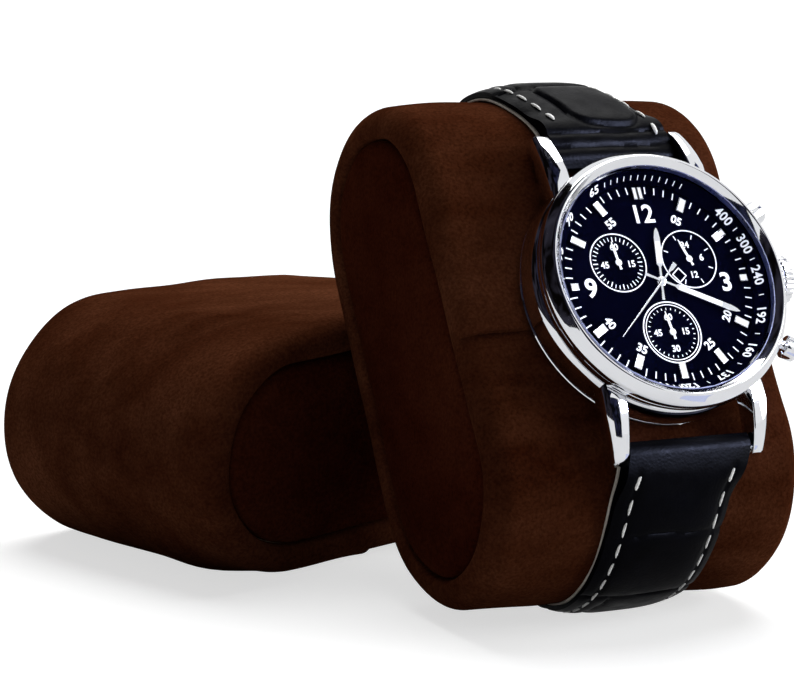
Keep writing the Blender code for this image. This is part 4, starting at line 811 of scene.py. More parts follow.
def layer_at(distance, side, lined):
    """Lowest and highest height of the leather at a place along a half."""
    bar_distance, bar_height = BAR[side]
    along = distance - bar_distance
    foot_of = buckle_foot if side > 0 else tail_foot
    low = foot_of(distance)
    high = low + thickness_at(distance, side)
    if along < LINING_START:
        round_share = min(max(1 + along / HEAD_REACH[side], 0.0), 1.0)
        half = STRAP_THICKNESS / 2 * math.sqrt(max(1 - (1 - round_share) ** 2, 0.12))
        share = ease((along - 1.8 * MM) / (LINING_START - 1.8 * MM))
        low = mix(bar_height - half, low, share)
        high = mix(bar_height + half, high, share)
    if side > 0:
        to_bar = (distance - back_distance(BUCKLE_BAR_Y, 1)) / BUCKLE_BAR_RADIUS
        barrel = ease((to_bar + 6) / 3)
        half = BUCKLE_BARREL / 2 * math.sqrt(max(1 - (max(to_bar, 0.0) / 2.15) ** 2, 0.04))
        low = mix(low, BUCKLE_BAR_HEIGHT - half, barrel)
        high = mix(high, BUCKLE_BAR_HEIGHT + half, barrel)
    if lined:
        low += LINING_THICKNESS + FIT_GAP
    return low, high


print("girth places of the bars in mm:", {side: round(BAR[side][0] / MM, 1) for side in BAR})

# %% [markdown]
# ## Padded leather with large scales
# The leather is pressed with the pattern of a reptile's belly: wide plates with thin furrows between
# them. Near the lugs the upper half is folded round its bar in two ribs before the padding starts.
# Furrows, ribs, padding and the sunk line of the stitching are all in the mesh, and only the pores
# are left to the shader.

# %% Relief of the strap's face
PLATE_LENGTH = 11.4 * MM
FIRST_FURROW = {1: 13.9 * MM, -1: 11.0 * MM}
OFF_THE_STRAP = 99.0 * MM
SIDE_FURROWS = {1: (-5.0 * MM, -5.4 * MM, 4.6 * MM), -1: (OFF_THE_STRAP, OFF_THE_STRAP, -4.9 * MM)}
STITCH_INSET = 2.05 * MM
PANEL_SIDES = (-4.4 * MM, 7.0 * MM)
PANEL_ENDS = (1.9 * MM, 13.6 * MM)
PANEL_CORNER = 3.0 * MM
RIB_FURROWS = (-1.1 * MM, 0.9 * MM)


def furrow(distance, width):
    """Depth share of a furrow: 1 on its line, 0 far off."""
    return math.exp(-(distance / width) ** 2)


def plate_edge(distance):
    """A thin furrow between two plates, with the plates rounding down to it."""
    return 0.24 * MM * furrow(distance, 0.18 * MM) + 0.17 * MM * furrow(distance, 0.8 * MM)


def past_panel(x, along):
    """Distance out of the padded panel by the 12 o'clock lugs, negative inside it."""
    beyond = []
    for value, (first, last) in ((x, PANEL_SIDES), (along, PANEL_ENDS)):
        beyond.append(abs(value - (first + last) / 2) - ((last - first) / 2 - PANEL_CORNER))
    return math.hypot(max(beyond[0], 0), max(beyond[1], 0)) + min(max(beyond), 0) - PANEL_CORNER


def relief_at(x, along, half_width, side):
    """Depth below the padded face: furrows between the plates and the groove of the stitching."""
    share = x / half_width
    bow = 0.7 * MM * (1 - share * share) + 0.16 * MM * math.sin(5 * share + along / (4 * MM))
    row = (along + bow - FIRST_FURROW[side]) / PLATE_LENGTH
    depth = plate_edge((row - round(row)) * PLATE_LENGTH) if row > -0.5 else 0.0
    line = SIDE_FURROWS[side][max(int(math.floor(row)) + 1, 0) % 3]
    wave = 0.22 * MM * math.sin(along / (1.9 * MM))
    if row > 0 or side < 0:
        depth = max(depth, plate_edge(x - line + wave))
    if side > 0:
        past = past_panel(x, along + 0.25 * MM * math.sin(x / (1.7 * MM)))
        before = 1 - ease((along - PANEL_ENDS[1]) / MM)
        step_down = 0.42 * MM * ease(past / (0.7 * MM) + 0.7)
        depth += before * (step_down + 0.20 * MM * furrow(past - 0.3 * MM, 0.3 * MM))
        ribs = along + 0.5 * bow
        for place in RIB_FURROWS:
            depth += 0.30 * MM * furrow(ribs - place, 0.30 * MM)
        depth += 0.05 * MM * math.sin(x / (0.8 * MM)) * furrow(ribs, 1.6 * MM)
    first = 1.5 * MM if side < 0 or x < 0 else 0.2 * MM
    groove = 0.26 * MM * furrow(abs(x) - (half_width - STITCH_INSET), 0.48 * MM)
    groove *= ease((along - first) / (1.2 * MM))
    return max(depth, groove) if depth > 0 else depth + groove


def face_height(share, low, high, along):
    """Height of the domed face over the strap's width: square at the lugs, low edges further on."""
    edge = low + (high - low) * mix(0.90, 0.42, ease((along - 2 * MM) / (5 * MM)))
    return edge + (high - edge) * (1 - abs(share) ** 3.2)


# %% Build a half of the strap
FACE_COLUMNS = 60
REST_COLUMNS = 14
EVENNESS = 0.6
STOP_STEP = 0.33 * MM


def strap_point(column, distance, side, lined, width_of):
    """A point round the strap's section: the face, the far edge, the underside and the near edge."""
    half_width = width_of(distance, side)
    low, high = layer_at(distance, side, lined)
    along = distance - BAR[side][0]
    if column <= FACE_COLUMNS:
        share = -math.cos(math.pi * column / FACE_COLUMNS)
        share = mix(share, 2 * column / FACE_COLUMNS - 1, EVENNESS)
        height = face_height(share, low, high, along)
        fade = ease((along + MM) / (2 * MM)) if side < 0 else ease((along + 3 * MM) / (1.5 * MM))
        height -= relief_at(share * half_width, along, half_width, side) * fade
        x = share * half_width
    else:
        step = (column - FACE_COLUMNS) / REST_COLUMNS
        if step <= 0.25:
            x = half_width
            height = mix(face_height(1.0, low, high, along), low, step / 0.25)
        elif step <= 0.75:
            x = half_width * (1 - 2 * (step - 0.25) / 0.5)
            height = low
        else:
            x = -half_width
            height = mix(low, face_height(1.0, low, high, along), (step - 0.75) / 0.25)
    y, z = girth_place(distance, height, side)
    return (x + drift_at(distance, side), y, z)


def strap_half(name, side, stops, lined_until, width_of):
    """A half of the strap as a closed tube along its stops."""
    columns = FACE_COLUMNS + REST_COLUMNS

    def point(column, row):
        distance = stops[row]
        lined = BAR[side][0] - 0.3 * MM < distance < lined_until
        return strap_point(column % columns, distance, side, lined, width_of)

    return formed(name, columns, len(stops) - 1, point)


def even_stops(start, end, step):
    """Stops from start to end, no further apart than step."""
    count = math.ceil((end - start) / step)
    return [start + (end - start) * i / count for i in range(count + 1)]


HEAD_STOPS = [-(1 - i / 9) for i in range(9)]
bar_end = back_distance(BUCKLE_BAR_Y, 1)
buckle_stops = [BAR[1][0] + HEAD_REACH[1] * stop for stop in HEAD_STOPS]
buckle_stops += even_stops(BAR[1][0], bar_end + BUCKLE_BARREL / 2, STOP_STEP)
tail_end = back_distance(BUCKLE_BAR_Y, -1) + TAIL_PAST_BUCKLE
tail_stops = [BAR[-1][0] + HEAD_REACH[-1] * stop for stop in HEAD_STOPS]
tail_stops += even_stops(BAR[-1][0], tail_end, STOP_STEP)


def tail_width(distance, side):
    """The tail half narrows to a rounded point."""
    past = (distance - (tail_end - TAIL_POINT_LENGTH)) / TAIL_POINT_LENGTH
    width = half_width_at(distance, side)
    if past <= 0:
        return width
    return max(width * math.sqrt(max(1 - past ** 2.4, 0.0)), TAIL_TIP_WIDTH / 2)


leather, tree, shader = two_toned(
    "padded_leather", 2.4 * MM, (0.0006, 0.0006, 0.0012), (0.0016, 0.0016, 0.0031),
    rough=(1.1 * MM, 4, 0.30, 0.46, 0.3, 0.7), Specular_IOR_Level=0.02)
plain = object_coordinates(tree)
pores = add_node(tree, "ShaderNodeTexVoronoi", Vector=plain, Scale=1 / (0.42 * MM)).outputs["Distance"]
creases = bumped(tree, noise(tree, plain, 0.2 * MM, 3), 0.03 * MM, 0.4)
wire(tree, shader, Normal=bumped(tree, pores, 0.05 * MM, 0.35, creases))

# %% [markdown]
# ## Holes
# The buckle's tongue passes through a hole of the long half, and a row of more holes lets the strap
# fit other wrists. They are punched, so they are cut straight through with round tools.

# %% Both halves, punched
PUNCH_REACH = 4.0


def punched(strap, places, radius):
    """Round holes through the strap, from (low, high) pairs of (y, z) places."""
    for low, high in places:
        tool = turned("punch", [(radius / MM, -PUNCH_REACH), (radius / MM, PUNCH_REACH)], 40)
        low, high = Vector((0, *low)), Vector((0, *high))
        cut(strap, placed(tool, Matrix.Translation((low + high) / 2) @ facing(high - low)))


buckle_half = strap_half("strap_buckle_half", 1, buckle_stops, bar_end - 3 * MM, half_width_at)
tail_half = strap_half("strap_tail_half", -1, tail_stops, back_distance(TAIL_RISE_START, -1), tail_width)
BACK_Z = -2 * OVAL_RADIUS
HOLE_PITCH = 7.0 * MM
HOLE_RADIUS = 1.15 * MM
HOLE_RISE_SHARE = 0.58
HOLE_OVERRUN = 0.65 * MM
rise = TAIL_FOOT - SOFT_GAP
slope = math.atan2(rise, TAIL_RISE_LENGTH)
hole_y = TAIL_RISE_START + HOLE_RISE_SHARE * TAIL_RISE_LENGTH
hole_height = SOFT_GAP + HOLE_RISE_SHARE * rise
ends = []
for lift in (-HOLE_OVERRUN, STRAP_END_THICKNESS + HOLE_OVERRUN):
    ends.append((hole_y - lift * math.sin(slope), BACK_Z - hole_height - lift * math.cos(slope)))
others = [hole_y + HOLE_OVERRUN * math.sin(slope) - HOLE_PITCH * i for i in (1, 2, 3)]
punched(tail_half, [ends] + [((y, BACK_Z), (y, BACK_Z - 3 * MM)) for y in others], HOLE_RADIUS)
for half, node in ((buckle_half, "strap_buckle_side"), (tail_half, "strap_tail_side")):
    dressed(smoothed(placed(half, WATCH), 50), leather)
    declared(half, "watch", "leather", node)
    print(half.name, "faces:", len(half.data.polygons))

# %% [markdown]
# ## Polished steel
# Polished steel shows its surroundings and almost no colour of its own. Fine wiping marks, far
# smaller than a millimetre, keep its reflections from looking like a mirror's.

# %% Steel finish
STEEL = two_toned(
    "polished_steel", 3 * MM, (0.7254, 0.7347, 0.7626), (0.78, 0.79, 0.82), spread=0.3, Metallic=1.0,
    rough=(0.5 * MM, 4, 0.04, 0.065, 0.3, 0.7), bump=(0.12 * MM, 2, 0.002 * MM, 0.25))[0]

# %% [markdown]
# ## Case, back and bezel
# All three are turned on a lathe, so each is a circle that is extruded and resized along its
# section. The case side has a step and a groove under the bezel, and the bezel a broad polished
# slope down to a thin lip.

# %% Turned parts of the case
LATHE_STEPS = 160
BEZEL_STEPS = 192
CASE_BORE = 16.9
case = turned("case_with_lugs", [
    (CASE_BORE, 2.05), (18.2, 2.05), (18.3, 1.15), (19.6, 1.15), (19.98, 1.22), (20.12, 1.5), (20.2, 2.0),
    (20.2, 2.8), (20.15, 3.6), (20.05, 4.4), (19.85, 5.1), (19.6, 5.5), (19.35, 5.64), (19.0, 5.68),
    (18.95, 5.86), (19.3, 5.9), (19.62, 6.0), (19.8, 6.25), (19.84, 6.6), (19.8, 6.85), (19.6, 6.98),
    (19.3, 7.0), (CASE_BORE, 7.0)], LATHE_STEPS, ring=True)
back = turned("screwed_case_back", [
    (0.4, 0.3), (14.5, 0.3), (15.0, 0.42), (19.2, 0.5), (19.7, 0.56), (20.0, 0.68), (20.08, 0.84),
    (20.0, 1.0), (19.6, 1.08), (18.1, 1.1), (18.0, 1.6), (16.75, 1.6), (16.75, 2.5), (0.4, 2.5)],
    LATHE_STEPS)
bezel = turned("polished_bezel", [
    (17.5, 7.05), (19.5, 7.05), (19.8, 7.12), (19.95, 7.3), (20.0, 7.7), (20.0, 8.0), (19.93, 8.28),
    (19.8, 8.52), (19.6, 8.82), (19.35, 9.18), (19.1, 9.52), (18.96, 9.7), (18.84, 9.82), (18.7, 9.88),
    (18.52, 9.87), (18.4, 9.8), (18.34, 9.72), (17.6, 9.08), (17.42, 8.92), (17.5, 8.85)],
    BEZEL_STEPS, ring=True)
print("bezel faces:", len(bezel.data.polygons))

# %% [markdown]
# ## Lugs
# A lug is forged with the case and bends down to the spring bar. It is a small loft: a rounded
# section that widens at the shoulder, falls, and ends in a rounded tip.

# %% Four lugs
# Each station is (y, inner x, width, foot, top), each section point a share of width and height.
LUG_STATIONS = [
    (13.6, 10.4, 3.0, 2.3, 6.0), (16.5, 10.4, 3.2, 2.1, 6.3), (18.6, 10.42, 3.25, 1.95, 6.15),
    (20.6, 10.45, 3.0, 1.55, 5.6), (22.4, 10.5, 2.7, 1.05, 4.85), (24.0, 10.5, 2.4, 0.75, 4.0),
    (25.0, 10.5, 2.2, 0.62, 3.35), (25.5, 10.55, 2.05, 0.72, 2.9), (25.75, 10.75, 1.6, 1.1, 2.4)]
LUG_SECTION_SHARES = [
    (0, 0.04), (0.06, 0), (0.5, 0), (0.85, 0.03), (0.97, 0.12), (1.0, 0.3), (0.985, 0.55), (0.93, 0.76),
    (0.80, 0.92), (0.6, 0.985), (0.35, 1.0), (0.07, 1.0), (0.0, 0.97), (0, 0.5)]


def lug_point(column, row):
    """A point round a lug: flat inside, rounded outside, with a soft top edge."""
    y, inner, width, foot, top = LUG_STATIONS[row]
    x, z = LUG_SECTION_SHARES[column % len(LUG_SECTION_SHARES)]
    return ((inner + x * width) * MM, y * MM, mix(foot, top, z) * MM)


lug = formed("lug", len(LUG_SECTION_SHARES), len(LUG_STATIONS) - 1, lug_point)
modified(lug, "BEVEL", width=0.12 * MM, segments=2, limit_method="ANGLE", angle_limit=math.radians(40))
lugs = []
for flip_x in (1, -1):
    for flip_y in (1, -1):
        lugs.append(tidied(copied(lug, Matrix.Diagonal((flip_x, flip_y, 1, 1)))))
bpy.data.objects.remove(lug, do_unlink=True)
lug_set = joined("lug_set", lugs)
print("lug faces:", len(lug_set.data.polygons))
cut(case, lug_set, "UNION")
cut(case, turned("bore", [(CASE_BORE, 2.3), (CASE_BORE, 9.0)], LATHE_STEPS))
for piece, node in ((case, "case_middle"), (back, "case_back"), (bezel, "bezel")):
    dressed(smoothed(placed(piece, HEAD), 24), STEEL)
    declared(piece, "watch", "polished_steel", node)

# %% [markdown]
# ## Crystal
# The crystal is a slightly domed disc with a coating, so it has a gloss only where it is seen at a
# slant. Light Path lets lamp light pass straight through it, so the dial under it is lit.

# %% Crystal
crystal = turned("domed_crystal", [
    (0.2, 7.95), (17.0, 7.95), (17.4, 8.05), (17.38, 8.75), (17.38, 9.1), (17.2, 9.22), (14.0, 9.36),
    (9.0, 9.48), (4.0, 9.54), (0.2, 9.55)], LATHE_STEPS)
GLASS_TINT = (0.99, 0.995, 1.0)
COATED_IOR = 1.04
glass, tree, shader = two_toned(
    "coated_glass", 4 * MM, (0.97, 0.98, 1.0), GLASS_TINT, spread=0.3,
    Roughness=0.0, IOR=COATED_IOR, Transmission_Weight=1.0)


def shader_mix(tree, factor, first, second):
    node = add_node(tree, "ShaderNodeMixShader")
    for socket, source in zip(node.inputs, (factor, first, second)):
        tree.links.new(source, socket)
    return node.outputs[0]


coated = add_node(tree, "ShaderNodeBsdfRefraction", Color=(*GLASS_TINT, 1.0), IOR=COATED_IOR).outputs[0]
slant = add_node(tree, "ShaderNodeLayerWeight", Blend=0.5).outputs["Facing"]
gloss = shader_mix(tree, level_of(tree, slant, 0.0, 1.0, 0.35, 0.8), coated, shader.outputs[0])
clear = add_node(tree, "ShaderNodeBsdfTransparent").outputs[0]
lamp_light = add_node(tree, "ShaderNodeLightPath").outputs["Is Shadow Ray"]
wire(tree, tree.nodes["Material Output"], Surface=shader_mix(tree, lamp_light, gloss, clear))
dressed(smoothed(placed(crystal, HEAD), 30), glass)
declared(crystal, "watch", "glass", "crystal")

# %% [markdown]
# ## Dial
# The dial plate is deep blue, almost black, with three sunk rings for the small dials.

# %% Dial plate
SUBDIALS = {"small_seconds": (-6.0, 3.5), "day_hour": (6.0, 3.5), "minute_counter": (0.0, -7.7)}
DIAL_RADIUS = 16.7
DIAL_TOP = 6.05
FLANGE_FOOT = (15.62, 6.25)
FLANGE_TOP = (17.12, 7.88)
SUBDIAL_STEPS = 96
navy = two_toned(
    "navy_dial", 5 * MM, (0.0005, 0.0006, 0.0033), (0.0009, 0.0011, 0.0058), Specular_IOR_Level=0.0,
    rough=(0.3 * MM, 3, 0.34, 0.46, 0.3, 0.7), bump=(0.08 * MM, 2, 0.004 * MM, 0.3))[0]
dial = turned("dial_plate", [
    (0.35, 5.65), (DIAL_RADIUS, 5.65), (DIAL_RADIUS, DIAL_TOP), (0.35, DIAL_TOP)], LATHE_STEPS, ring=True)
for x, y in SUBDIALS.values():
    recess = turned("recess", [(4.2, 5.9), (4.25, 6.4)], SUBDIAL_STEPS)
    cut(dial, placed(recess, Matrix.Translation((x * MM, y * MM, 0))))
flange = turned("flange_ring", [
    (15.6, 6.1), (DIAL_RADIUS, 6.1), (DIAL_RADIUS, 7.15), (17.3, 7.15), (17.3, 7.85), FLANGE_TOP,
    FLANGE_FOOT], LATHE_STEPS, ring=True)
for piece, node in ((dial, "dial"), (flange, "tachymeter_ring")):
    dressed(smoothed(placed(piece, HEAD), 30), navy)
    declared(piece, "watch", "navy_dial", node)

# %% [markdown]
# ## Many small marks from one
# A dial carries hundreds of printed ticks and a strap hundreds of stitches. Each kind is modelled
# once, then copied to its places, and the copies are joined into one piece.

# %% Helper for repeated marks
def strewn(name, master, matrices):
    """Copies of one small piece at all these places, joined into a new piece."""
    copies = []
    for matrix in matrices:
        one = master.copy()
        one.data = master.data.copy()
        one.data.transform(matrix)
        bpy.context.scene.collection.objects.link(one)
        copies.append(one)
    whole = joined(name, copies)
    bpy.data.objects.remove(master, do_unlink=True)
    return whole


def shifted(x, y, height=0.0):
    """A move in millimetres."""
    return Matrix.Translation((x * MM, y * MM, height * MM))


def clock(degrees, radius=0.0, height=0.0):
    """A place on the dial, turned clockwise from 12 o'clock: y points outwards."""
    return Matrix.Rotation(-math.radians(degrees), 4, "Z") @ shifted(0, radius, height)


def tick(length, width, thickness=0.02):
    """One printed tick: a flat bar whose ends are drawn in a little."""
    bpy.ops.object.select_all(action="DESELECT")
    bpy.ops.mesh.primitive_cube_add(size=1, scale=(width * MM, length * MM, thickness * MM))
    obj = named("tick")
    bpy.ops.object.transform_apply(location=False, rotation=False, scale=True)
    return modified(obj, "BEVEL", width=min(width, length) * 0.25 * MM, segments=1, affect="EDGES",
                    limit_method="ANGLE", angle_limit=math.radians(80))


CAPITAL_SHARE = 0.70


def lettering(name, text, height, place, weight=0.0, spacing=1.0):
    """Plain numbers as a thin printed mesh, centred on their place."""
    bpy.ops.object.select_all(action="DESELECT")
    bpy.ops.object.text_add()
    obj = named(name)
    obj.data.body = text
    obj.data.size = height / CAPITAL_SHARE * MM
    obj.data.align_x = "CENTER"
    obj.data.align_y = "CENTER"
    obj.data.extrude = 0.01 * MM
    obj.data.offset = weight * MM
    obj.data.space_character = spacing
    obj.data.resolution_u = 4
    bpy.ops.object.convert(target="MESH")
    obj = bpy.context.active_object
    low = min(vertex.co.y for vertex in obj.data.vertices)
    high = max(vertex.co.y for vertex in obj.data.vertices)
    return placed(obj, place @ Matrix.Translation((0, -(low + high) / 2, 0)))


# %% [markdown]
# ## Print on the dial
# The white print is pad printed in a thick lacquer, so it stands a hundredth of a millimetre proud.
# A minute track runs round the dial, plain numbers stand inside it, and each small dial has its ring.

# %% White lacquer
lacquer = two_toned(
    "white_lacquer", 0.6 * MM, (0.78, 0.79, 0.82), (0.88, 0.88, 0.89), spread=0.25, Specular_IOR_Level=0.3,
    rough=(0.3 * MM, 2, 0.35, 0.5), bump=(0.1 * MM, 2, 0.004 * MM, 0.3))[0]

PRINT = DIAL_TOP + 0.01
SUNK = PRINT - 0.15
HOUR_NUMERAL_HEIGHT = 2.8
MINUTE_NUMERAL_HEIGHT = 1.25
SUBDIAL_NUMERAL_HEIGHT = 0.98
print_pieces = [strewn("minute_track", tick(1.1, 0.19), [
    clock(6 * i, 14.75, PRINT) for i in range(60) if i % 5])]


def at_subdial(name, matrix):
    return shifted(*SUBDIALS[name]) @ matrix


for label, x, y, weight in (("12", 0.1, 11.0, 0.07), ("3", 11.3, -0.35, 0.10), ("9", -11.5, -0.2, 0.10)):
    print_pieces.append(lettering(
        "numeral_" + label, label, HOUR_NUMERAL_HEIGHT, shifted(x, y, PRINT), weight))
for label, degrees, radius, turn in (
        ("55", 330, 11.2, 0), ("05", 30, 11.2, 0), ("20", 120, 11.4, math.pi), ("25", 150, 11.4, math.pi),
        ("35", 210, 11.4, math.pi), ("40", 240, 11.4, math.pi)):
    place = clock(degrees, radius, PRINT) @ Matrix.Rotation(turn, 4, "Z")
    print_pieces.append(lettering("minutes_" + label, label, MINUTE_NUMERAL_HEIGHT, place, 0.05))
for subdial, inner, outer in (
        ("small_seconds", 4.45, 4.62), ("day_hour", 4.45, 4.62), ("minute_counter", 4.62, 4.80),
        ("minute_counter", 4.22, 4.34)):
    ring = turned(subdial + "_ring", [
        (inner, PRINT - 0.01), (outer, PRINT - 0.01), (outer, PRINT + 0.015), (inner, PRINT + 0.015)],
        SUBDIAL_STEPS, ring=True)
    print_pieces.append(placed(ring, at_subdial(subdial, Matrix.Identity(4))))
for subdial, length, width, radius, angles in (
        ("small_seconds", 0.6, 0.12, 3.8, [10 * i for i in range(36) if i % 3]),
        ("small_seconds", 0.8, 0.16, 3.72, [30 * i for i in range(12)]),
        ("day_hour", 0.75, 0.16, 3.75, [45 * i + 22.5 for i in range(8)]),
        ("minute_counter", 0.34, 0.12, 3.7, [12 * i for i in range(30)])):
    print_pieces.append(strewn(subdial + "_ticks", tick(length, width), [
        at_subdial(subdial, clock(angle, radius, SUNK)) for angle in angles]))
for subdial, label, x, y in (
        ("small_seconds", "60", 0, 2.55), ("small_seconds", "15", 2.2, -0.2),
        ("small_seconds", "45", -2.2, -0.2), ("day_hour", "24", 0, 2.35), ("day_hour", "6", 2.3, 0.25),
        ("day_hour", "12", 0.3, -2.4), ("minute_counter", "60", 0, 2.45),
        ("minute_counter", "15", 2.3, 0.1), ("minute_counter", "30", 0, -2.45),
        ("minute_counter", "45", -2.3, 0.1)):
    place = at_subdial(subdial, shifted(x, y, SUNK))
    print_pieces.append(lettering(f"{subdial}_{label}", label, SUBDIAL_NUMERAL_HEIGHT, place, 0.03))

# %% [markdown]
# ## Scale on the sloped ring
# Inside the bezel a sloped ring carries a speed scale: the number at a place is 3600 divided by the
# seconds that the long hand has run there. So the numbers' places come from the numbers themselves.

# %% Speed scale
SLOPE = math.atan2(FLANGE_TOP[1] - FLANGE_FOOT[1], FLANGE_TOP[0] - FLANGE_FOOT[0])
SCALE_RADIUS = (FLANGE_FOOT[0] + FLANGE_TOP[0]) / 2
SCALE_HEIGHT = (FLANGE_FOOT[1] + FLANGE_TOP[1]) / 2 + 0.02
SPEED_HEIGHT = 1.35


def on_slope(degrees):
    """A place half way up the ring's slope."""
    return clock(degrees, SCALE_RADIUS, SCALE_HEIGHT) @ Matrix.Rotation(SLOPE, 4, "X")


def bent_lettering(name, label, height, degrees, weight):
    """Numbers bent along the ring, so both their ends lie on the slope."""
    obj = lettering(name, label, height, Matrix.Identity(4), weight, 1.06)
    for vertex in obj.data.vertices:
        x, y, z = vertex.co
        vertex.co = on_slope(degrees + math.degrees(x / (SCALE_RADIUS * MM))) @ Vector((0, y, z))
    return obj


for speed in (400, 300, 240, 192, 160, 137, 120, 110, 100, 90, 80, 75, 70, 65):
    seconds = 3600 / speed
    print_pieces.append(bent_lettering(f"speed_{speed}", str(speed), SPEED_HEIGHT, seconds * 6, 0.04))
marks = [63, 81, 101, 124, 146, 169] + [186 + 3.2 * i for i in range(8)]
marks += [340 + 4.2 * i for i in range(12)]
print_pieces.append(strewn("speed_ticks", tick(0.8, 0.14), [on_slope(degrees) for degrees in marks]))

dial_print = joined("dial_print", print_pieces)
dressed(placed(dial_print, HEAD), lacquer)
declared(dial_print, "watch", "white_lacquer")
print("print faces:", len(dial_print.data.polygons))

# %% Date window
window_turn = Matrix.Rotation(math.radians(38), 4, "Z")
window_place = at_subdial("day_hour", shifted(-2.35, -2.45, PRINT) @ window_turn)
bpy.ops.object.select_all(action="DESELECT")
bpy.ops.mesh.primitive_plane_add(size=1.75 * MM)
window = named("window_frame")
bpy.ops.object.mode_set(mode="EDIT")
bpy.ops.mesh.inset(thickness=0.16 * MM)
bpy.ops.mesh.delete(type="FACE")
bpy.ops.object.mode_set(mode="OBJECT")
modified(window, "SOLIDIFY", thickness=0.12 * MM, offset=0)
modified(window, "BEVEL", width=0.02 * MM, segments=1, limit_method="ANGLE")
dressed(placed(tidied(window), HEAD @ window_place), lacquer)
declared(window, "watch", "white_lacquer")

# %% [markdown]
# ## Applied hour markers
# A marker is a small steel frame round a bar of white paint. Its top face is inset and the inner
# face sunk, which leaves the polished frame standing.

# %% Twelve markers
BATON_HEIGHT = 0.35 * MM


def baton(name, length, width, place):
    """One applied baton along y, from its foot at z 0."""
    bpy.ops.object.select_all(action="DESELECT")
    bpy.ops.mesh.primitive_cube_add(
        size=1, scale=(width * MM, length * MM, BATON_HEIGHT), location=(0, 0, BATON_HEIGHT / 2))
    obj = named(name)
    bpy.ops.object.transform_apply(location=True, rotation=True, scale=True)
    dressed(obj, STEEL, lacquer)
    top = [face.index for face in obj.data.polygons if face.normal.z > 0.9]
    bpy.ops.object.mode_set(mode="EDIT")
    bpy.ops.mesh.select_mode(type="FACE")
    bpy.ops.mesh.select_all(action="DESELECT")
    bpy.ops.object.mode_set(mode="OBJECT")
    obj.data.polygons[top[0]].select = True
    bpy.ops.object.mode_set(mode="EDIT")
    bpy.ops.mesh.inset(thickness=0.05 * MM, depth=0.0)
    bpy.ops.mesh.inset(thickness=0.12 * MM, depth=-0.06 * MM)
    obj.active_material_index = 1
    bpy.ops.object.material_slot_assign()
    bpy.ops.mesh.select_mode(type="VERT")
    bpy.ops.object.mode_set(mode="OBJECT")
    modified(obj, "BEVEL", width=0.03 * MM, segments=2, limit_method="ANGLE", angle_limit=math.radians(50))
    return placed(obj, place)


for hour in range(1, 13):
    name = f"baton_{hour:02d}"
    if hour == 12:
        twelve = clock(0, 14.15, DIAL_TOP)
        marker = joined(name, [baton("bar", 1.9, 0.62, twelve @ shifted(x, 0)) for x in (-0.45, 0.45)])
    elif hour in (3, 9):
        marker = baton(name, 1.25, 1.05, clock(30 * hour, 14.3, DIAL_TOP))
    else:
        marker = baton(name, 2.3, 1.15, clock(30 * hour, 13.8, DIAL_TOP))
    declared(placed(marker, HEAD), "watch", "white_lacquer", f"hour_marker_{hour:02d}")

# %% [markdown]
# ## Hands
# A baton hand is stamped: a thin neck at the hub, a wider body with a bar of white paint, and an
# open tip. The hand is a flat grid whose rows are moved to the outline, then given its thickness.

# %% Build a hand
PAINT_THICKNESS = 0.055


def hand(name, outline, paint, hub, thickness=0.15):
    """outline and paint are lists of (place along the hand, half width), hub is a list of turned
    sections. All in millimetres, from a foot at z 0."""
    pieces = []
    for part, stations, lift in (("body", outline, 0.0), ("paint", paint, thickness - 0.03)):
        if not stations:
            continue

        def point(column, row):
            y, half_width = stations[row]
            return ((column / 2 - 1) * half_width * MM, y * MM, lift * MM)

        blade = formed(part, 4, len(stations) - 1, point, around=False, caps=False)
        dressed(blade, STEEL, lacquer)
        if part == "paint":
            for face in blade.data.polygons:
                face.material_index = 1
        depth = thickness if part == "body" else PAINT_THICKNESS
        modified(blade, "SOLIDIFY", thickness=depth * MM, offset=1)
        modified(blade, "BEVEL", width=0.02 * MM, segments=1, limit_method="ANGLE",
                 angle_limit=math.radians(60))
        pieces.append(blade)
    for profile in hub:
        pieces.append(dressed(turned("hub", profile, 40), STEEL, lacquer))
    return joined(name, pieces)


def lay_hand(obj, subdial, degrees, foot, body):
    """Puts a hand on its hub. Its body and the CAD node that it replaces have one name."""
    hub_place = shifted(*SUBDIALS.get(subdial, (0.0, 0.0)), foot)
    smoothed(placed(obj, HEAD @ hub_place @ Matrix.Rotation(-math.radians(degrees), 4, "Z")), 30)
    declared(obj, body, "polished_steel", body)


hour_hand = hand("baton_hour_hand", [
    (-2.9, 0.24), (-1.2, 0.18), (0, 0.18), (2.3, 0.18), (2.7, 0.5), (6.9, 0.5), (7.9, 0.34), (8.5, 0.1)],
    [(2.9, 0.38), (6.3, 0.38)], [[(0.1, 0), (0.72, 0), (0.72, 0.16), (0.62, 0.2), (0.1, 0.2)]])
lay_hand(hour_hand, "", 9, 6.575, "hour_hand")
minute_hand = hand("baton_minute_hand", [
    (-2.9, 0.24), (-1.2, 0.17), (0, 0.17), (2.2, 0.17), (2.6, 0.45), (11.4, 0.45), (12.3, 0.30),
    (12.9, 0.08)],
    [(2.8, 0.36), (9.9, 0.36)], [[(0.1, 0), (0.6, 0), (0.6, 0.16), (0.5, 0.2), (0.1, 0.2)]])
lay_hand(minute_hand, "", 115, 6.875, "minute_hand")
chrono_hand = hand("needle_chronograph_hand", [
    (-3.6, 0.34), (-2.4, 0.30), (-1.9, 0.13), (0, 0.15), (6, 0.12), (12.4, 0.05)], [],
    [[(0.1, 0), (0.48, 0), (0.48, 0.14), (0.36, 0.22), (0.2, 0.26), (0.1, 0.26)]])
lay_hand(chrono_hand, "", 227.6, 7.175, "chronograph_hand")
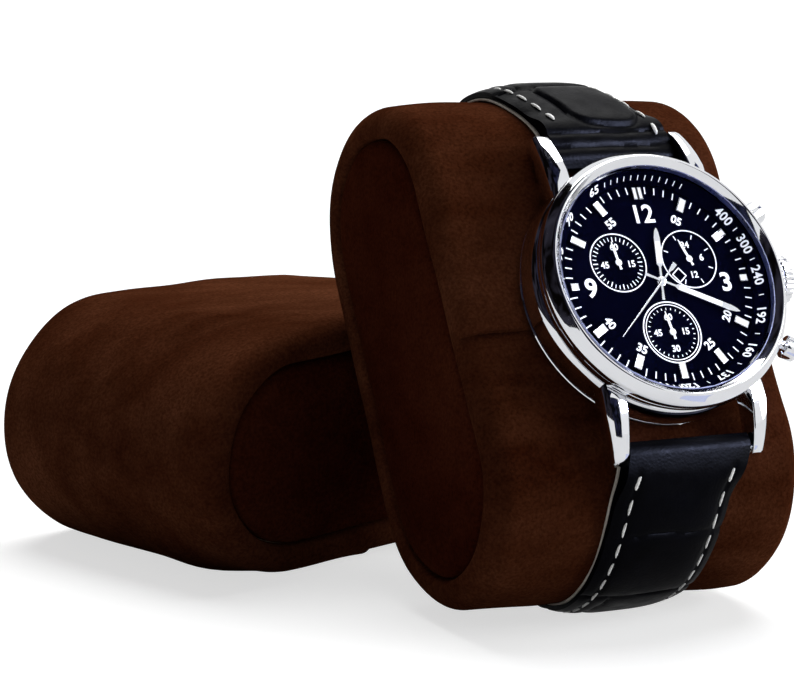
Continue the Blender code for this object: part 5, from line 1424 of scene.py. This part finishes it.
for subdial, degrees in (("small_seconds", -7), ("minute_counter", -8), ("day_hour", -20)):
    small = hand(f"{subdial}_pointer", [
        (-1.1, 0.2), (-0.6, 0.14), (0, 0.16), (1.4, 0.2), (2.4, 0.14), (3.3, 0.04)],
        [], [[(0.1, 0), (0.5, 0), (0.5, 0.12), (0.36, 0.2), (0.1, 0.2)]], 0.13)
    for face in small.data.polygons:
        face.material_index = 1
    lay_hand(small, subdial, degrees, 6.125, subdial + "_hand")

# %% [markdown]
# ## Crown and pushers
# The crown is turned, then fluted so that fingers can grip it. The fluting is made by moving the
# points of its rim in and out. Each pusher is a cap on a stem that slides in a tube.

# %% Crown
FLUTES = 28
FLUTE_DEPTH = 0.17 * MM
FLUTE_START = 3.3
crown = turned("fluted_crown", [
    (0.4, 20.3), (3.1, 20.3), (3.55, 20.42), (3.8, 20.62), (3.86, 20.8), (3.86, 21.95), (3.78, 22.12),
    (3.5, 22.3), (3.0, 22.42), (2.2, 22.49), (1.0, 22.5), (0.4, 22.5)], 6 * FLUTES)
for vertex in crown.data.vertices:
    radius = math.hypot(vertex.co.x, vertex.co.y)
    if radius > FLUTE_START * MM:
        angle = math.atan2(vertex.co.y, vertex.co.x)
        depth = FLUTE_DEPTH * min((radius / MM - FLUTE_START) / 0.4, 1)
        depth *= (0.5 - 0.5 * math.cos(FLUTES * angle)) ** 1.6
        vertex.co.x *= 1 - depth / radius
        vertex.co.y *= 1 - depth / radius
SIDEWAYS = Matrix.Translation((0, 0, 4.3 * MM)) @ Matrix.Rotation(math.pi / 2, 4, "Y")
dressed(smoothed(placed(crown, HEAD @ SIDEWAYS), 40), STEEL)
declared(crown, "crown", "polished_steel", "crown")

# %% Pushers and their tubes
PUSHER_STEPS = 64
for name, degrees in (("start", 28), ("reset", -28)):
    place = HEAD @ Matrix.Rotation(math.radians(degrees), 4, "Z") @ SIDEWAYS
    tube = turned(name + "_collar", [
        (0.95, 17.5), (1.45, 17.5), (1.45, 19.9), (1.5, 20.0), (1.5, 20.6), (1.4, 20.78), (1.2, 20.8),
        (0.95, 20.8)], PUSHER_STEPS, ring=True)
    cap = turned(name + "_cap", [
        (0.1, 18.4), (0.8, 18.4), (0.8, 21.95), (1.0, 22.0), (1.68, 22.02), (1.79, 22.12), (1.8, 22.3),
        (1.8, 23.75), (1.72, 24.0), (1.5, 24.18), (1.1, 24.27), (0.1, 24.3)], PUSHER_STEPS)
    for piece, body, node in (
            (tube, "watch", name + "_pusher_tube"), (cap, name + "_pusher", name + "_pusher")):
        dressed(smoothed(placed(piece, place), 35), STEEL)
        declared(piece, body, "polished_steel", node)

# %% [markdown]
# ## Stitching and lining
# White thread runs in a sunk groove along both edges of the strap. A stitch is a short bead of
# thread that dips at both ends, and the first one of a row is sewn twice, so it is wider. Under the
# leather lies a pale lining, whose cut edge shows as a thin light line.

# %% Thread
STITCH_PITCH = 3.1 * MM
STITCH_LENGTH = 2.5 * MM
STITCH_SINK = 0.06 * MM
STITCH_DIP = 0.16 * MM
SEWN_TWICE = Matrix.Diagonal((1.6, 0.9, 1.1, 1))


def stitch_matrix(edge, distance, side, length):
    """The place of one stitch on the face of a half, at its left (-1) or right (1) edge."""
    half_width = half_width_at(distance, side)
    x = edge * (half_width - STITCH_INSET)
    ends = []
    for past in (-length / 2, length / 2):
        at = distance + past
        low, high = layer_at(at, side, False)
        height = face_height(x / half_width, low, high, at - BAR[side][0]) - STITCH_SINK
        y, z = girth_place(at, height, side)
        ends.append(Vector((x + drift_at(at, side), y, z)))
    along = (ends[1] - ends[0]).normalized()
    across = Vector((1, 0, 0))
    across = (across - along * across.dot(along)).normalized()
    out = across.cross(along)
    matrix = Matrix((across, along, out)).transposed().to_4x4()
    matrix.translation = (ends[0] + ends[1]) / 2
    return matrix


def stitches(name, side, start, end, pitch, length):
    """Rows of stitches along both edges, from start to end past the lug bar."""
    bpy.ops.object.select_all(action="DESELECT")
    bpy.ops.mesh.primitive_uv_sphere_add(segments=8, ring_count=6, radius=0.5)
    bead = named("stitch")
    bead.data.transform(Matrix.Diagonal((0.43 * MM, 0.42 * MM, length, 1)))
    bead.data.transform(Matrix.Rotation(math.pi / 2, 4, "X"))
    for vertex in bead.data.vertices:
        share = abs(vertex.co.y) / (length / 2)
        vertex.co.z -= STITCH_DIP * share ** 3
        vertex.co.x *= 1 + 0.15 * share
    smoothed(bead, 60)
    count = int((end - start) / pitch)
    places = []
    for edge in (-1, 1):
        first = -1 if side > 0 and edge > 0 else 0
        for i in range(first, count + 1):
            place = stitch_matrix(edge, BAR[side][0] + start + pitch * i, side, length)
            places.append(place @ SEWN_TWICE if i == first else place)
    return strewn(name, bead, places)


thread, tree, shader = new_finish("waxed_thread", Specular_IOR_Level=0.25, Roughness=0.6)
plain = object_coordinates(tree)
strands = add_node(tree, "ShaderNodeTexWave", {"wave_type": "BANDS", "bands_direction": "DIAGONAL"},
                   Vector=plain, Scale=1 / (1.1 * MM), Distortion=1.5)
wire(tree, shader,
     Base_Color=ramp(tree, strands.outputs["Fac"], (0.2, (0.90, 0.90, 0.88)), (0.8, (1.0, 1.0, 0.98))),
     Normal=bumped(tree, strands.outputs["Fac"], 0.05 * MM, 0.6))
tail_stitch_end = back_distance(BUCKLE_BAR_Y, -1) + 26 * MM - BAR[-1][0]
for name, side, start, end in (
        ("buckle_half_stitching", 1, 4.0 * MM, bar_end - BAR[1][0] - 6 * MM),
        ("tail_half_stitching", -1, 3.2 * MM, tail_stitch_end)):
    run = stitches(name, side, start, end, STITCH_PITCH, STITCH_LENGTH)
    declared(dressed(placed(run, WATCH), thread), "watch", "lining")
    print(name, "faces:", len(run.data.polygons))

# %% Lining
LINING_OVERHANG = 0.10 * MM
LINING_SECTION = [
    (-1, 0.2), (-0.985, 0), (0, 0), (0.985, 0), (1, 0.2), (1, 0.8), (0.985, 1), (0, 1), (-0.985, 1),
    (-1, 0.8)]
lining_finish = two_toned(
    "pale_lining", 1.5 * MM, (0.52, 0.47, 0.40), (0.72, 0.67, 0.60), detail=4,
    bump=(0.2 * MM, 3, 0.05 * MM, 0.5), Roughness=0.7, Specular_IOR_Level=0.3)[0]


def lining_strip(name, side, start, end):
    stops = even_stops(start, end, 0.8 * MM)

    def point(column, row):
        distance = stops[row]
        share, level = LINING_SECTION[column % len(LINING_SECTION)]
        x = share * (half_width_at(distance, side) + LINING_OVERHANG)
        low = layer_at(distance, side, False)[0]
        y, z = girth_place(distance, low + level * LINING_THICKNESS, side)
        return (x + drift_at(distance, side), y, z)

    return formed(name, len(LINING_SECTION), len(stops) - 1, point)


for name, side, end, node in (
        ("buckle_half_lining", 1, bar_end - 3.1 * MM, "strap_buckle_side_lining"),
        ("tail_half_lining", -1, back_distance(TAIL_RISE_START, -1) - 0.1 * MM, "strap_tail_side_lining")):
    strip = lining_strip(name, side, BAR[side][0] - 0.2 * MM, end)
    dressed(smoothed(placed(strip, WATCH), 40), lining_finish)
    declared(strip, "watch", "lining", node)

# %% [markdown]
# ## Keepers and buckle
# A keeper is a loop of folded leather round both layers of the strap: a small rounded section that
# runs round a rounded rectangle. The buckle's frame is one bent steel wire, drawn as a tube along
# its middle line.

# %% Keepers
KEEPER_SECTION = [(-2.0, 0.2), (-1.8, 0.0), (1.8, 0.0), (2.0, 0.2), (2.0, 0.66), (1.84, 0.84), (1.3, 0.9),
                  (0.0, 0.92), (-1.3, 0.9), (-1.84, 0.84), (-2.0, 0.66)]


def rounded_loop(half_width, half_height, corner, steps=6):
    """Places and outward directions round a rectangle with rounded corners."""
    places = []
    for quarter, (x, z) in enumerate(((1, 1), (-1, 1), (-1, -1), (1, -1))):
        middle = Vector((x * (half_width - corner), z * (half_height - corner)))
        for step in range(steps + 1):
            angle = math.pi / 2 * (quarter + step / steps)
            out = Vector((math.cos(angle), math.sin(angle)))
            places.append((middle + corner * out, out))
    return places


KEEPER_SPARE = 0.3 * MM
KEEPER_CORNER = 0.4 * MM
keeper_low = KEEPER_LAYER - LAYER_GAP
keeper_high = TAIL_FOOT + STRAP_END_THICKNESS + LAYER_GAP
keeper_path = rounded_loop(
    STRAP_END_WIDTH / 2 + KEEPER_SPARE, (keeper_high - keeper_low) / 2, KEEPER_CORNER)


def keeper_loop(name, y):
    def point(column, row):
        place, out = keeper_path[column % len(keeper_path)]
        across, lift = KEEPER_SECTION[row % len(KEEPER_SECTION)]
        x, z = place + out * lift * MM
        return (x, y + across * MM, BACK_Z - (keeper_low + keeper_high) / 2 + z)

    return formed(name, len(keeper_path), len(KEEPER_SECTION), point, caps=False)


for name, y, body in (
        ("fixed_keeper", FIXED_KEEPER_Y, "watch"), ("free_keeper", FREE_KEEPER_Y, "free_keeper")):
    keeper = placed(keeper_loop(name + "_loop", y), WATCH)
    declared(dressed(smoothed(keeper, 50), leather), body, "leather", name)

# %% Buckle frame
bar_y, bar_z = girth_place(back_distance(BUCKLE_BAR_Y, 1), BUCKLE_BAR_HEIGHT, 1)
WIRE_RADIUS = 1.0
WIRE_COLUMNS = 20
WIRE_END_SHARES = (0.55, 0.88, 1.0)
WIRE_FLATNESS = 0.9
side_x = STRAP_END_WIDTH / 2 / MM + 0.35 + WIRE_RADIUS
reach, drop, bend = 10.5, -1.85, 2.4
arm = [(side_x, 1.5, 0.0), (side_x, 1.25, 0.0), (side_x, 0.6, 0.0), (side_x, 0.0, 0.0)]
arm += [(side_x, (bend - reach) * ease(i / 8), drop * ease(i / 8)) for i in range(1, 9)]
for i in range(1, 9):
    turn = math.pi / 16 * i
    arm.append((side_x - bend * (1 - math.cos(turn)), bend - reach - bend * math.sin(turn), drop))
path = arm + [(x, -reach, drop) for x in (5.0, 2.0, -2.0, -5.0)] + [(-x, y, z) for x, y, z in reversed(arm)]
path = [Vector(place) * MM for place in path]
wire_rings = []
across = Vector((0, 0, 1))
for i, place in enumerate(path):
    along = (path[min(i + 1, len(path) - 1)] - path[max(i - 1, 0)]).normalized()
    across = (across - along * across.dot(along)).normalized()
    from_end = min(i, len(path) - 1 - i)
    radius = WIRE_RADIUS * MM * WIRE_END_SHARES[min(from_end, 2)]
    wire_rings.append((place, across * radius * WIRE_FLATNESS, along.cross(across) * radius))


def frame_point(column, row):
    place, first, second = wire_rings[row]
    angle = math.tau * column / WIRE_COLUMNS
    return place + first * math.cos(angle) + second * math.sin(angle)


buckle = formed("bent_buckle_frame", WIRE_COLUMNS, len(path) - 1, frame_point)
dressed(smoothed(placed(buckle, WATCH @ Matrix.Translation((0, bar_y, bar_z))), 50), STEEL)
declared(buckle, "buckle_frame", "polished_steel", "buckle_frame")

# %% [markdown]
# ## Finishes for what stays as it is
# Some CAD nodes already have their real shape: gaskets, tubes, the spring bars, the movement under
# the dial and the boards inside the cushions. They only get a finish.

# %% Finishes of the CAD nodes
rubber = two_toned(
    "black_rubber", 0.4 * MM, (0.012, 0.012, 0.013), (0.022, 0.022, 0.024),
    bump=(0.1 * MM, 3, 0.01 * MM, 0.4), Roughness=0.7, Specular_IOR_Level=0.3)[0]
seal = two_toned(
    "tinted_seal", 2 * MM, (0.006, 0.008, 0.03), (0.03, 0.035, 0.11), rough=(0.4 * MM, 3, 0.2, 0.4),
    Specular_IOR_Level=0.5)[0]
plastic = two_toned(
    "holder_plastic", 1.5 * MM, (0.70, 0.70, 0.66), (0.78, 0.78, 0.75), bump=(0.2 * MM, 3, 0.01 * MM, 0.3),
    Roughness=0.55)[0]
brass, tree, shader = new_finish("movement_brass", Metallic=1.0)
plain = object_coordinates(tree)
stripes = add_node(tree, "ShaderNodeTexWave", Vector=plain, Scale=1 / (6 * MM)).outputs["Fac"]
wire(tree, shader, Base_Color=ramp(tree, stripes, (0.2, (0.50, 0.42, 0.27)), (0.8, (0.66, 0.58, 0.42))),
     Roughness=level_of(tree, noise(tree, plain, 0.5 * MM), 0.25, 0.45))
card, tree, shader = new_finish("grey_card", Roughness=0.9, Specular_IOR_Level=0.2)
fibres = noise(tree, object_coordinates(tree, (1, 1, 3)), 0.5 * MM, 4)
wire(tree, shader, Base_Color=ramp(tree, fibres, (0.3, (0.24, 0.19, 0.13)), (0.7, (0.36, 0.29, 0.21))),
     Normal=bumped(tree, fibres, 0.05 * MM, 0.4))
KEPT = {
    rubber: ("case_back_gasket",),
    seal: ("crystal_gasket",),
    brass: ("movement",),
    plastic: ("movement_holder",),
    card: ("front_cushion_left_board", "front_cushion_right_board", "rear_cushion_left_board",
           "rear_cushion_right_board"),
    STEEL: ("button_cell", "crown_tube", "winding_stem", "spring_bar_12", "spring_bar_6", "buckle_bar",
            "buckle_tongue"),
}
for material, nodes in KEPT.items():
    for node in nodes:
        obj = frame["nodes"][node]
        for slot in obj.material_slots:
            slot.material = material
print("kept CAD nodes:", sum(len(nodes) for nodes in KEPT.values()))
